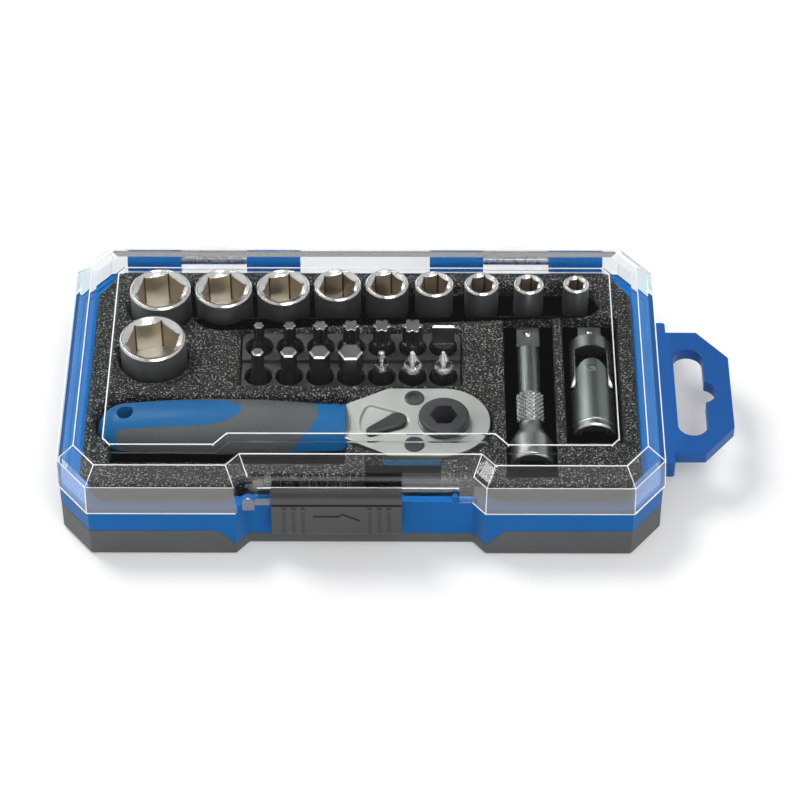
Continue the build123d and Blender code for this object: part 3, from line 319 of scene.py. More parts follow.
@dataclass(frozen=True)
class ClearFinish:
    """Clear polished plastic that lets the lamps through to what lies under it."""

    name: str
    tint: RGB
    roughness: float = 0.0
    ior: float = 1.06
    transmission: float = 1.0
    coat: float = 1.0
    coat_roughness: float = 0.02
    coat_ior: float = 1.5

    def make(self) -> Material:
        """Build the material."""
        material, tree, shader = new_material(self.name)
        set_inputs(tree, shader, {
            "Base Color": rgba(self.tint), "Roughness": self.roughness, "IOR": self.ior,
            "Transmission Weight": self.transmission, "Coat Weight": self.coat,
            "Coat Roughness": self.coat_roughness, "Coat IOR": self.coat_ior})
        mix = add_node(tree, "MixShader", {
            "Fac": add_node(tree, "LightPath").outputs["Is Shadow Ray"], 1: shader.outputs["BSDF"],
            2: add_node(tree, "BsdfTransparent").outputs["BSDF"]})
        set_inputs(tree, tree.nodes["Material Output"], {"Surface": mix.outputs["Shader"]})
        return material


class Part(Enum):
    """Elements that edit mode can select."""

    VERT = "VERT"
    EDGE = "EDGE"
    FACE = "FACE"


class Bench:
    """Edit-mode helpers that every sub-assembly shares."""

    @staticmethod
    def clear() -> None:
        """Leave edit mode and deselect everything."""
        if bpy.context.object is not None and bpy.context.object.mode != "OBJECT":
            bpy.ops.object.mode_set(mode="OBJECT")
        bpy.ops.object.select_all(action="DESELECT")

    @staticmethod
    def take(piece: Piece) -> None:
        """Make one piece the only selected and active object."""
        Bench.clear()
        piece.select_set(True)
        bpy.context.view_layer.objects.active = piece

    @staticmethod
    def edit(piece: Piece, part: Part = Part.VERT, action: str = "SELECT") -> None:
        """Open one piece in edit mode with all of it selected or deselected.

        Args:
            piece: The piece to open.
            part: What is selected.
            action: SELECT or DESELECT.
        """
        Bench.take(piece)
        bpy.ops.object.mode_set(mode="EDIT")
        bpy.ops.mesh.select_mode(type=part.value)
        bpy.ops.mesh.select_all(action=action)

    @staticmethod
    def copy_node(node: str, name: str, *finishes: Material, flat: float = 0.5) -> Piece:
        """Copy a CAD node's mesh into a new piece with merged corners and whole flat faces.

        Args:
            node: The CAD node.
            name: The new piece's name.
            finishes: The piece's finishes.
            flat: Faces that meet at less than this many degrees become one.

        Returns:
            The new piece, at the origin.
        """
        piece = bpy.data.objects.new(name, frame["nodes"][node].data.copy())
        piece.data.materials.clear()
        bpy.context.scene.collection.objects.link(piece)
        Bench.edit(piece)
        bpy.ops.mesh.customdata_custom_splitnormals_clear()
        bpy.ops.mesh.remove_doubles(threshold=SAME_POINT)
        bpy.ops.mesh.dissolve_limited(angle_limit=math.radians(flat))
        Bench.clear()
        for finish in finishes:
            piece.data.materials.append(finish)
        return piece

    @staticmethod
    def pick(piece: Piece, part: Part, test: Callable) -> int:
        """Open a piece in edit mode with those of its elements selected that pass a test.

        Args:
            piece: The piece.
            part: What is selected.
            test: A function of a vertex, an edge or a face.

        Returns:
            How many elements were selected.
        """
        Bench.edit(piece, part, "DESELECT")
        bpy.ops.object.mode_set(mode="OBJECT")
        mesh = piece.data
        found = 0
        for element in {Part.VERT: mesh.vertices, Part.EDGE: mesh.edges, Part.FACE: mesh.polygons}[part]:
            element.select = bool(test(element))
            found += element.select
        bpy.ops.object.mode_set(mode="EDIT")
        return found

    @staticmethod
    def pick_between(piece: Piece, test: Callable[[Face, Face], bool]) -> int:
        """Open a piece in edit mode with the edges selected whose two faces pass a test.

        Args:
            piece: The piece.
            test: A function of an edge's two faces.

        Returns:
            How many edges were selected.
        """
        sides: dict[tuple[int, int], list[Face]] = {}

        def passes(edge: bpy.types.MeshEdge) -> bool:
            """Try an edge, after listing each edge's faces at the first one."""
            if not sides:
                for face in piece.data.polygons:
                    for key in face.edge_keys:
                        sides.setdefault(key, []).append(face)
            faces = sides.get(edge.key, [])
            return len(faces) == 2 and test(*faces)

        return Bench.pick(piece, Part.EDGE, passes)

    @staticmethod
    def outside(piece: Piece, tilt: float = 0.2) -> set[int]:
        """Find the faces that look out of a shell, upwards or sideways.

        Args:
            piece: The shell, in object mode.
            tilt: How far each look is raised, so that it passes over low steps.

        Returns:
            The faces' indices.
        """
        found = set()
        for face in piece.data.polygons:
            look = (face.normal + Vector((0.0, 0.0, tilt))).normalized()
            hit = piece.ray_cast(face.center + face.normal * CLOSE, look)[0]
            if not hit and face.normal.z > -UPRIGHT:
                found.add(face.index)
        return found

    @staticmethod
    def soften(piece: Piece, width: float, segments: int = 2, angle: float = 30.0) -> None:
        """Round a piece's sharp edges with an applied bevel.

        Args:
            piece: The piece to round.
            width: The rounding's width in metres.
            segments: How many faces the rounding has.
            angle: Edges sharper than this many degrees are rounded.
        """
        Bench.take(piece)
        bevel = piece.modifiers.new("rounding", "BEVEL")
        bevel.width = width
        bevel.segments = segments
        bevel.limit_method = "ANGLE"
        bevel.angle_limit = math.radians(angle)
        bevel.use_clamp_overlap = True
        bevel.miter_outer = "MITER_ARC"
        bpy.ops.object.modifier_apply(modifier=bevel.name)

    @staticmethod
    def apply_place(piece: Piece) -> None:
        """Move an object's place, turn and size into its mesh."""
        Bench.take(piece)
        bpy.ops.object.transform_apply(location=True, rotation=True, scale=True)

    @staticmethod
    def block(name: str, place: RGB, size: RGB, rounding: float, finish: Material, lean: float = 0.0) -> Piece:
        """Make a bar or pad with rounded edges.

        Args:
            name: The piece's name.
            place: Its middle.
            size: Its three sides.
            rounding: Width of its rounding.
            finish: Its finish.
            lean: Its turn about Y in degrees.

        Returns:
            The piece, at the origin.
        """
        Bench.clear()
        bpy.ops.mesh.primitive_cube_add(size=1.0, location=place)
        piece = bpy.context.object
        piece.name = name
        piece.scale = size
        piece.rotation_euler = (0.0, math.radians(lean), 0.0)
        piece.data.materials.append(finish)
        Bench.apply_place(piece)
        Bench.soften(piece, rounding)
        return piece

    @staticmethod
    def finish(piece: Piece, body: str, slot: str, replaces: tuple[str, ...] = (), smooth: float = 32.0) -> None:
        """Shade a piece and set it on its body.

        Args:
            piece: The finished piece.
            body: The CAD body that carries it.
            slot: The record's material slot; not used.
            replaces: CAD nodes that the piece stands for.
            smooth: Edges flatter than this many degrees are shaded smooth.
        """
        Bench.take(piece)
        bpy.ops.object.shade_smooth_by_angle(angle=math.radians(smooth))
        even = piece.modifiers.new("even_normals", "WEIGHTED_NORMAL")
        even.keep_sharp = True
        bpy.ops.object.modifier_apply(modifier=even.name)
        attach(piece, body)
        if replaces:
            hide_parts(*replaces)
        LOG.info("%s on %s, %d faces", piece.name, body, len(piece.data.polygons))

    @staticmethod
    def rounded(node: str, name: str, body: str, slot: str, material: Material, width: float = 0.0,
                segments: int = 2) -> None:
        """Make a CAD node's dressed copy with rounded edges.

        Args:
            node: The CAD node, which the copy replaces.
            name: The copy's name.
            body: The CAD body that carries it.
            slot: The record's material slot.
            material: The finish.
            width: The rounding's width, or 0 where the node is round already.
            segments: How many faces the rounding has.
        """
        piece = Bench.copy_node(node, name, material)
        if width:
            Bench.soften(piece, width, segments)
        Bench.finish(piece, body, slot, (node,))


def dress_node(node: str, material: Material) -> None:
    """Give a CAD node that stays shown its finish.

    Args:
        node: The CAD node.
        material: The finish.
    """
    shown = frame["nodes"][node]
    shown.data.materials.clear()
    shown.data.materials.append(material)
    LOG.info("%s dressed as %s", node, material.name)


SHELL_GREY = PlasticFinish("shell_grey", (0.08, 0.087, 0.088), (0.07, 0.076, 0.077), (0.45, 0.6), 2600.0, 0.3,
                           specular=0.35)
FRAME_BLUE = PlasticFinish("frame_blue", (0.004, 0.122, 0.39), (0.0035, 0.11, 0.355), (0.34, 0.46), 3200.0, 0.2,
                           specular=0.12)
HANGER_BLUE = PlasticFinish("hanger_blue", (0.011, 0.088, 0.32), (0.009, 0.078, 0.29), (0.36, 0.48), 3200.0, 0.2,
                            specular=0.25)
LATCH_BLACK = PlasticFinish("latch_black", (0.034, 0.035, 0.033), (0.028, 0.029, 0.028), (0.34, 0.46), 3000.0, 0.25)
# its light tips are painted glints on the grain
TRAY_BLACK = PlasticFinish("tray_black", (0.006, 0.006, 0.0055), (0.004, 0.004, 0.004), (0.4, 0.58), 2200.0, 0.9,
                           0.22 * MM, specular=0.14, painted_glint=(0.24, 0.245, 0.225))
BLOCK_BLACK = PlasticFinish("block_black", (0.03, 0.03, 0.029), (0.024, 0.024, 0.023), (0.4, 0.52), 2600.0, 0.2,
                            specular=0.35)
HANDLE_BLUE = PlasticFinish("handle_blue", (0.004, 0.088, 0.235), (0.0035, 0.078, 0.21), (0.36, 0.48), 3000.0, 0.2,
                            specular=0.2)
GRIP_GREY = PlasticFinish("grip_grey", (0.056, 0.062, 0.063), (0.047, 0.052, 0.053), (0.55, 0.7), 2400.0, 0.35)
SOCKET_CHROME = MetalFinish("socket_chrome", (0.82, 0.82, 0.79), (0.76, 0.76, 0.74), (0.16, 0.26))
SOCKET_INSIDE = MetalFinish("socket_inside", (0.8, 0.7, 0.555), (0.7, 0.6, 0.47), (0.3, 0.4), strength=0.05)
# painted shade: dark finish for the narrow faces in the corners of each socket's hexagon
SOCKET_CORNER_PAINTED_SHADE = MetalFinish("socket_line", (0.16, 0.125, 0.09), (0.12, 0.095, 0.07), (0.3, 0.4), strength=0.05)
SOCKET_BODY = MetalFinish("socket_body", (0.42, 0.43, 0.425), (0.35, 0.36, 0.355), (0.32, 0.44))
BIT_STEEL = MetalFinish("bit_steel", (0.12, 0.12, 0.118), (0.09, 0.09, 0.089), (0.34, 0.46))
BIT_END = MetalFinish("bit_end", (0.26, 0.26, 0.25), (0.21, 0.21, 0.2), (0.3, 0.42))
BIT_TIP = MetalFinish("bit_tip", (0.8, 0.8, 0.78), (0.72, 0.72, 0.7), (0.2, 0.3))
BAR_STEEL = MetalFinish("bar_steel", (0.24, 0.265, 0.25), (0.19, 0.21, 0.2), (0.28, 0.4), 1400.0, 0.3)
BELL_STEEL = MetalFinish("bell_steel", (0.40, 0.42, 0.40), (0.33, 0.35, 0.335), (0.28, 0.4), 1400.0, 0.3)
JOINT_BRIGHT = MetalFinish("joint_bright", (0.66, 0.68, 0.66), (0.56, 0.58, 0.57), (0.24, 0.36))
KNURL_STEEL = MetalFinish("knurl_steel", (0.42, 0.44, 0.42), (0.34, 0.36, 0.34), (0.22, 0.32))
BALL_STEEL = MetalFinish("ball_steel", (0.8, 0.8, 0.8), (0.72, 0.72, 0.72), (0.08, 0.14))
HEAD_SATIN = MetalFinish("head_satin", (0.62, 0.64, 0.60), (0.54, 0.56, 0.52), (0.36, 0.48), 1500.0, 0.2)
# painted reflection: blue tint on the ratchet head's front flank stands for the blue frame reflected in its chrome side
HEAD_FLANK_PAINTED_REFLECTION = MetalFinish("head_flank", (0.012, 0.17, 0.40), (0.010, 0.15, 0.35), (0.24, 0.34), metallic=0.25)
DARK_METAL = MetalFinish("dark_metal", (0.05, 0.052, 0.055), (0.036, 0.038, 0.04), (0.34, 0.48), metallic=0.5)
PIN_STEEL = MetalFinish("pin_steel", (0.55, 0.56, 0.57), (0.48, 0.49, 0.5), (0.22, 0.34))
LID_CLEAR = ClearFinish("lid_clear", (0.975, 0.985, 0.99))
# painted reflection: dark grey, half-clear tint on the lid's front walls and pads that stands for the grey reflection
# seen in them
LID_FRONT_PAINTED_REFLECTION = ClearFinish("lid_wall", (0.26, 0.25, 0.235), 0.08, 1.1, 0.5)
# painted teal cast on the lid's side walls: it stands for the blue frame seen through them, on top of the plastic's own
# faint edge tint
LID_SIDE_PAINTED_TEAL = ClearFinish("lid_side", (0.72, 0.95, 0.93), coat=0.4)
# painted highlight: whitish, mostly opaque finish of the beads that stand for the bright lines on the lid's edges
LID_EDGE_PAINTED_HIGHLIGHT = ClearFinish("lid_edge", (0.97, 0.98, 0.98), 0.3, 1.3, 0.2)


@dataclass
class Case:
    """Shell, frame, lid, hinges, latch and hang tab."""

    shell_rounding: float = 0.6 * MM
    frame_rounding: float = 0.3 * MM
    latch_rounding: float = 0.22 * MM
    tab_rounding: float = 0.35 * MM
    bead: float = 0.17 * MM
    bead_angle: float = 15.0
    parting: float = 16.3 * MM
    parting_slack: float = 0.3 * MM
    lid_top: float = 29.7 * MM
    panel_drop: tuple[float, float] = (0.55 * MM, 0.65 * MM)
    wall_front: float = -43.5 * MM
    front_facing: float = 0.4
    wall_side: float = 70.0 * MM
    side_facing: float = 0.5
    side_turn: float = 0.2
    hinge_start: float = 46.5 * MM
    gap_across: tuple[float, float] = (-31.5 * MM, 25.7 * MM)
    gap_back: float = -36.0 * MM
    gap_top: float = 21.0 * MM
    pads: tuple[tuple[str, float, float], ...] = (("lid_pad_left", -26.8 * MM, 3.0 * MM),
                                                  ("lid_pad_right", 31.2 * MM, 4.4 * MM))
    pad_top: float = 24.6 * MM
    pad_width: float = 3.0 * MM
    pad_depth: float = 0.5 * MM
    pad_rounding: float = 0.2 * MM
    arrow_level: float = 6.8 * MM
    arrow_height: float = 0.35 * MM
    arrow_rounding: float = 0.15 * MM
    bump_count: int = 3
    bump_level: float = 9.6 * MM
    bump_start: float = 3.4 * MM
    bump_pitch: float = 2.5 * MM
    bump_radius: float = 0.75 * MM
    bump_flatness: float = 0.6
    bump_depth: float = 0.1 * MM
    bump_cut: float = 0.2 * MM

    def build(self) -> None:
        """Build and dress every piece of the case."""
        Bench.rounded("base_shell", "lower_shell", "case_base", "grey_shell", SHELL_GREY.make(), self.shell_rounding, 3)
        Bench.rounded("base_frame", "blue_frame", "case_base", "case_blue", FRAME_BLUE.make(), self.frame_rounding)
        steel = PIN_STEEL.make()
        for side in ("left", "right"):
            Bench.rounded(f"hinge_pin_{side}", f"pin_{side}", "case_base", "pin_steel", steel, self.frame_rounding)
        self.build_lid()
        self.build_latch()
        Bench.rounded("hang_tab", "hanger", "hang_tab", "tab_blue", HANGER_BLUE.make(), self.tab_rounding, 3)

    def build_lid(self) -> None:
        """Clear lid, with whitish beads along its outer edges as painted highlight lines, and two moulded pads."""
        clear, wall, side = (finish.make() for finish in (LID_CLEAR, LID_FRONT_PAINTED_REFLECTION, LID_SIDE_PAINTED_TEAL))
        cover = Bench.copy_node("lid", "clear_cover", clear, wall, side)
        outer = Bench.outside(cover)
        for face in cover.data.polygons:
            if face.index not in outer:
                continue
            normal, place = face.normal, face.center
            # outer front walls take the painted grey reflection
            if abs(normal.z) < UPRIGHT and -normal.y > self.front_facing and place.y < self.wall_front:
                face.material_index = 1
            # outer side walls take the painted teal cast
            elif (abs(normal.x) > self.side_facing and abs(normal.y) < self.side_turn
                  and abs(place.x) > self.wall_side):
                face.material_index = 2
        self.build_painted_highlight_beads(cover, outer)
        Bench.finish(cover, "lid", "clear_lid", ("lid",), 5.0)
        for name, x, height in self.pads:
            level = self.pad_top - height / 2
            front = cover.ray_cast(Vector((x, 2 * self.wall_front, level)), Vector((0, 1, 0)))[1]
            # the pads take the painted grey reflection too
            pad = Bench.block(name, (x, front.y, level), (self.pad_width, self.pad_depth, height), self.pad_rounding,
                              wall)
            Bench.finish(pad, "lid", "clear_lid")

    def build_painted_highlight_beads(self, cover: Piece, outer: set[int]) -> None:
        """Thin whitish beads along the lid's outer edges: painted highlight lines for the light that the edges catch.

        Args:
            cover: The lid.
            outer: Indices of the lid's outer faces.
        """
        def shows(one: Face, two: Face) -> bool:
            """Tell whether two faces meet in an edge that shows outside."""
            sides = (one, two)
            if one.normal.angle(two.normal, 0.0) < math.radians(self.bead_angle):
                return False
            if any(face.center.y > self.hinge_start for face in sides):
                return False
            if any(self.panel_drop[0] < self.lid_top - face.center.z < self.panel_drop[1] for face in sides):
                return False
            under = [face.normal.z < -LEVEL and abs(face.center.z - self.parting) < self.parting_slack
                     for face in sides]
            return all(face.index in outer or low for face, low in zip(sides, under)) and not all(under)

        def in_gap(corner: bpy.types.MeshVertex) -> bool:
            """Tell whether a corner is behind the latch, where no bead shows."""
            across = self.gap_across[0] < corner.co.x < self.gap_across[1]
            return across and corner.co.y < self.gap_back and corner.co.z < self.gap_top

        LOG.info("lid: beads along %d edges", Bench.pick_between(cover, shows))
        bpy.ops.mesh.duplicate()
        bpy.ops.mesh.separate(type="SELECTED")
        Bench.clear()
        beads = next(piece for piece in bpy.context.scene.objects if piece.name.startswith(cover.name + "."))
        beads.name = "lid_edge_beads"
        Bench.edit(beads)
        bpy.ops.mesh.delete(type="ONLY_FACE")
        Bench.pick(beads, Part.VERT, lambda corner: corner.co.z < self.parting + NEAR)
        bpy.ops.transform.translate(value=(0, 0, self.bead + NEAR))
        Bench.pick(beads, Part.VERT, in_gap)
        bpy.ops.mesh.delete(type="VERT")
        Bench.take(beads)
        bpy.ops.object.convert(target="CURVE")
        beads.data.bevel_depth = self.bead
        beads.data.bevel_resolution = 1
        beads.data.use_fill_caps = True
        bpy.ops.object.convert(target="MESH")
        beads.data.materials.clear()
        # the beads carry the painted highlight finish
        beads.data.materials.append(LID_EDGE_PAINTED_HIGHLIGHT.make())
        Bench.finish(beads, "lid", "clear_lid", smooth=60.0)

    def build_latch(self) -> None:
        """Black slider with rounded edges, a raised arrow that points the way it opens, and finger bumps."""
        black = LATCH_BLACK.make()
        Bench.rounded("latch_slider", "latch_grip", "latch", "latch_black", black, self.latch_rounding)
        low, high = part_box("latch_slider")
        middle = (low.x + high.x) / 2
        for name, offset, drop, length, height, lean in (
                ("latch_arrow_bar", -2.6 * MM, 0.0, 7.2 * MM, 0.6 * MM, 0.0),
                ("latch_arrow_head", 3.4 * MM, -0.7 * MM, 5.4 * MM, 1.5 * MM, 28.0)):
            stroke = Bench.block(name, (middle + offset, low.y, low.z + self.arrow_level + drop),
                                 (length, 2 * self.arrow_height, height), self.arrow_rounding, black, lean)
            Bench.finish(stroke, "latch", "latch_black")
        for index in range(self.bump_count):
            inward = self.bump_start + index * self.bump_pitch
            for side, x in (("left", low.x + inward), ("right", high.x - inward)):
                bump = self.build_bump(Vector((x, low.y, low.z + self.bump_level)))
                bump.name = f"latch_bump_{side}_{index + 1}"
                bump.data.materials.append(black)
                Bench.finish(bump, "latch", "latch_black")

    def build_bump(self, place: Vector) -> Piece:
        """Make a small flattened stop above one of the slider's finger grooves.

        Args:
            place: Its place on the slider's front.

        Returns:
            The bump, at the origin.
        """
        Bench.clear()
        bpy.ops.mesh.primitive_uv_sphere_add(segments=20, ring_count=12, radius=self.bump_radius,
                                             location=place + Vector((0, self.bump_depth, 0)))
        bump = bpy.context.object
        bump.scale = (1.0, self.bump_flatness, 1.0)
        Bench.apply_place(bump)
        Bench.edit(bump)
        bpy.ops.mesh.bisect(plane_co=place + Vector((0, self.bump_cut, 0)), plane_no=(0, 1, 0), use_fill=True,
                            clear_outer=True)
        Bench.edit(bump)
        bpy.ops.mesh.remove_doubles(threshold=SAME_POINT)
        bpy.ops.mesh.normals_make_consistent(inside=False)
        Bench.clear()
        return bump


@dataclass
class Insert:
    """Grained tool tray and the bit block that stands in it."""

    tray_rounding: float = 1.7 * MM
    lip_height: float = 3.0 * MM
    lip_reach: float = 2.0 * MM
    wall_rise: float = 0.5
    web_share: float = 0.42
    widest_web: float = 20.0 * MM
    end_slack: float = 0.02
    parallel: float = 1e-12
    easing_rounds: int = 12
    easing_step: float = 0.12
    block_rounding: float = 0.35 * MM

    def build(self) -> None:
        """Build and dress the tray and the block."""
        self.build_tray()
        Bench.rounded("bit_holder", "bit_block", "case_base", "holder_black", BLOCK_BLACK.make(), self.block_rounding)

    def build_tray(self) -> None:
        """Tray with a lip at its back, and with pocket mouths that are rolled over, less so on narrow webs."""
        tray = Bench.copy_node("tool_tray", "tool_insert", TRAY_BLACK.make())
        _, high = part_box("tool_tray")
        Bench.edit(tray)
        bpy.ops.mesh.bisect(plane_co=(0, 0, high.z - self.lip_height), plane_no=(0, 0, 1))
        Bench.pick(tray, Part.VERT, lambda corner: corner.co.y > high.y - NEAR and corner.co.z > high.z - NEAR)
        bpy.ops.transform.translate(value=(0, self.lip_reach, 0))
        Bench.clear()
        rim = self.rim_edges(tray, high.z)
        segments = [(a, b) for _, a, b, _ in rim]
        shares = {}
        for index, a, b, out in rim:
            web = self.web_width((a + b) / 2, -out, segments)
            shares[index] = min(1.0, self.web_share * web / self.tray_rounding)
        self.ease_shares(tray, shares)
        weights = tray.data.attributes.new("bevel_weight_edge", "FLOAT", "EDGE")
        for index, share in shares.items():
            weights.data[index].value = share
        Bench.take(tray)
        bevel = tray.modifiers.new("rolled_rim", "BEVEL")
        bevel.width = self.tray_rounding
        bevel.segments = 4
        bevel.limit_method = "WEIGHT"
        bevel.use_clamp_overlap = False
        bpy.ops.object.modifier_apply(modifier=bevel.name)
        Bench.finish(tray, "case_base", "tray_black", ("tool_tray",), 50.0)

    def rim_edges(self, tray: Piece, top: float) -> list[tuple[int, Vector, Vector, Vector]]:
        """List the edges where the tray's top meets a wall.

        Args:
            tray: The tray, in object mode.
            top: Height of the tray's top.

        Returns:
            Each edge's index, two ends and the way its wall looks.
        """
        walls = {}
        for face in tray.data.polygons:
            if abs(face.normal.z) < self.wall_rise:
                for key in face.edge_keys:
                    walls[key] = face.normal
        found = []
        for edge in tray.data.edges:
            a, b = (tray.data.vertices[i].co for i in edge.vertices)
            if edge.key in walls and min(a.z, b.z) > top - CLOSE:
                found.append((edge.index, a.copy(), b.copy(), walls[edge.key].copy()))
        return found

    def ease_shares(self, tray: Piece, shares: dict[int, float]) -> None:
        """Let the rolled rim grow gradually from its narrow places.

        Args:
            tray: The tray.
            shares: Each rim edge's share of the full rounding, which is changed.
        """
        corners: dict[int, list[int]] = {}
        for index in shares:
            for vertex in tray.data.edges[index].vertices:
                corners.setdefault(vertex, []).append(index)
        for _ in range(self.easing_rounds):
            for around in corners.values():
                limit = min(shares[index] for index in around) + self.easing_step
                for index in around:
                    shares[index] = min(shares[index], limit)

    def web_width(self, start: Vector, way: Vector, segments: list[tuple[Vector, Vector]]) -> float:
        """Measure the tray's top from an edge to the next edge across it.

        Args:
            start: Middle of the edge.
            way: The way across the top.
            segments: Ends of all rim edges.

        Returns:
            The width in metres, at most that of the widest web.
        """
        nearest = self.widest_web
        for a, b in segments:
            run = b - a
            across = way.x * run.y - way.y * run.x
            if abs(across) < self.parallel:
                continue
            gap = a - start
            reach = (gap.x * run.y - gap.y * run.x) / across
            along = (gap.x * way.y - gap.y * way.x) / across
            if NEAR < reach < nearest and -self.end_slack <= along <= 1 + self.end_slack:
                nearest = reach
        return nearest


class SocketZone(IntEnum):
    """Finishes of a socket, in the order of its materials."""

    RIM = 0
    INSIDE = 1
    BODY = 2
    LINE = 3


@dataclass
class SocketRow:
    """The ten sockets."""

    sizes: tuple[int, ...] = (4, 5, 6, 7, 8, 9, 10, 11, 12, 13)
    rounding: float = 0.22 * MM
    sharp_angle: float = 40.0
    bright_band: float = 1.0 * MM
    corner_width: float = 0.3 * MM
    corner_angle: tuple[float, float] = (50.0, 70.0)
    flat_rise: float = 0.1
    inward: float = 0.2
    inside_rise: float = 0.4

    def build(self) -> None:
        """Round and dress each socket: bright rim, satin body and a warmer finish inside."""
        finishes = [finish.make() for finish in (SOCKET_CHROME, SOCKET_INSIDE, SOCKET_BODY, SOCKET_CORNER_PAINTED_SHADE)]
        for size in self.sizes:
            node = f"socket_{size:02d}mm"
            low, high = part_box(node)
            middle = (low + high) / 2
            socket = Bench.copy_node(node, f"nut_socket_{size:02d}", *finishes)
            self.ease_corners(socket, middle, high.z)
            Bench.soften(socket, self.rounding, 2, self.sharp_angle)
            for face in socket.data.polygons:
                if face.material_index != SocketZone.LINE:
                    face.material_index = self.zone_of(face, middle, high.z)
            Bench.finish(socket, "case_base", "socket_chrome", (node,))

    def ease_corners(self, socket: Piece, middle: Vector, top: float) -> None:
        """Ease the six corners of the socket's hexagon into narrow faces with a dark finish: painted shade in the
        corners.

        Args:
            socket: The socket.
            middle: Middle of the socket.
            top: Height of the socket's rim.
        """
        least, most = (math.radians(angle) for angle in self.corner_angle)

        def corner(one: Face, two: Face) -> bool:
            """Tell whether two faces are neighbouring flats inside."""
            flats = all(abs(face.normal.z) < self.flat_rise and self.zone_of(face, middle, top) == SocketZone.INSIDE
                        for face in (one, two))
            return flats and least < one.normal.angle(two.normal, 0.0) < most

        Bench.pick_between(socket, corner)
        # the eased corners take the painted corner shade
        bpy.ops.mesh.bevel(offset=self.corner_width, segments=1, affect="EDGES", material=int(SocketZone.LINE))
        Bench.clear()

    def zone_of(self, face: Face, middle: Vector, top: float) -> SocketZone:
        """Choose a face's finish.

        Args:
            face: The face.
            middle: Middle of the socket.
            top: Height of the socket's rim.

        Returns:
            The zone that the face is in.
        """
        flat = Vector((face.center.x - middle.x, face.center.y - middle.y, 0.0))
        if face.normal.dot(flat) < -self.inward * flat.length and face.normal.z < self.inside_rise:
            return SocketZone.INSIDE
        return SocketZone.BODY if face.center.z < top - self.bright_band else SocketZone.RIM


class BitZone(IntEnum):
    """Finishes of a bit, in the order of its materials."""

    BODY = 0
    CHAMFER = 1
    END = 2


@dataclass
class BitSet:
    """The fourteen bits in their block."""

    names: tuple[str, ...] = ("star_t10", "star_t15", "star_t20", "star_t25", "star_t27", "star_t30", "slot_6",
                              "hex_3", "hex_4", "hex_5", "hex_6", "cross_1", "cross_2", "cross_3")
    rounding: float = 0.1 * MM
    sharp_angle: float = 40.0
    tip_chamfer: float = 0.4 * MM
    tip_length: float = 6.0 * MM
    tip_rise: float = 0.15
    end_rise: float = 0.95
    end_slack: float = 0.1 * MM

    def build(self) -> None:
        """Chamfer and dress each bit: dark body, bright chamfer and grey end."""
        finishes = [finish.make() for finish in (BIT_STEEL, BIT_TIP, BIT_END)]
        for name in self.names:
            node = f"bit_{name}"
            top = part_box(node)[1].z
            bit = Bench.copy_node(node, f"driver_{name}", *finishes)
            self.cut_chamfer(bit, top)
            Bench.soften(bit, self.rounding, 1, self.sharp_angle)
            for face in bit.data.polygons:
                rise = face.normal.z
                at_tip = face.center.z > top - self.tip_length
                if face.material_index == BitZone.BODY and at_tip and rise > self.tip_rise:
                    face.material_index = BitZone.END if rise > LEVEL else BitZone.CHAMFER
            Bench.finish(bit, "case_base", "bit_steel", (node,))

    def cut_chamfer(self, bit: Piece, top: float) -> None:
        """Chamfer the edge of a bit's flat end.

        Args:
            bit: The bit.
            top: Height of its end.
        """
        def rim(one: Face, two: Face) -> bool:
            """Tell whether one face is the end and the other a side."""
            ends = [face.normal.z > self.end_rise and face.center.z > top - self.end_slack for face in (one, two)]
            return ends[0] != ends[1]

        if Bench.pick_between(bit, rim):
            bpy.ops.mesh.bevel(offset=self.tip_chamfer, segments=1, affect="EDGES", material=int(BitZone.CHAMFER),
                               clamp_overlap=True)
        Bench.clear()


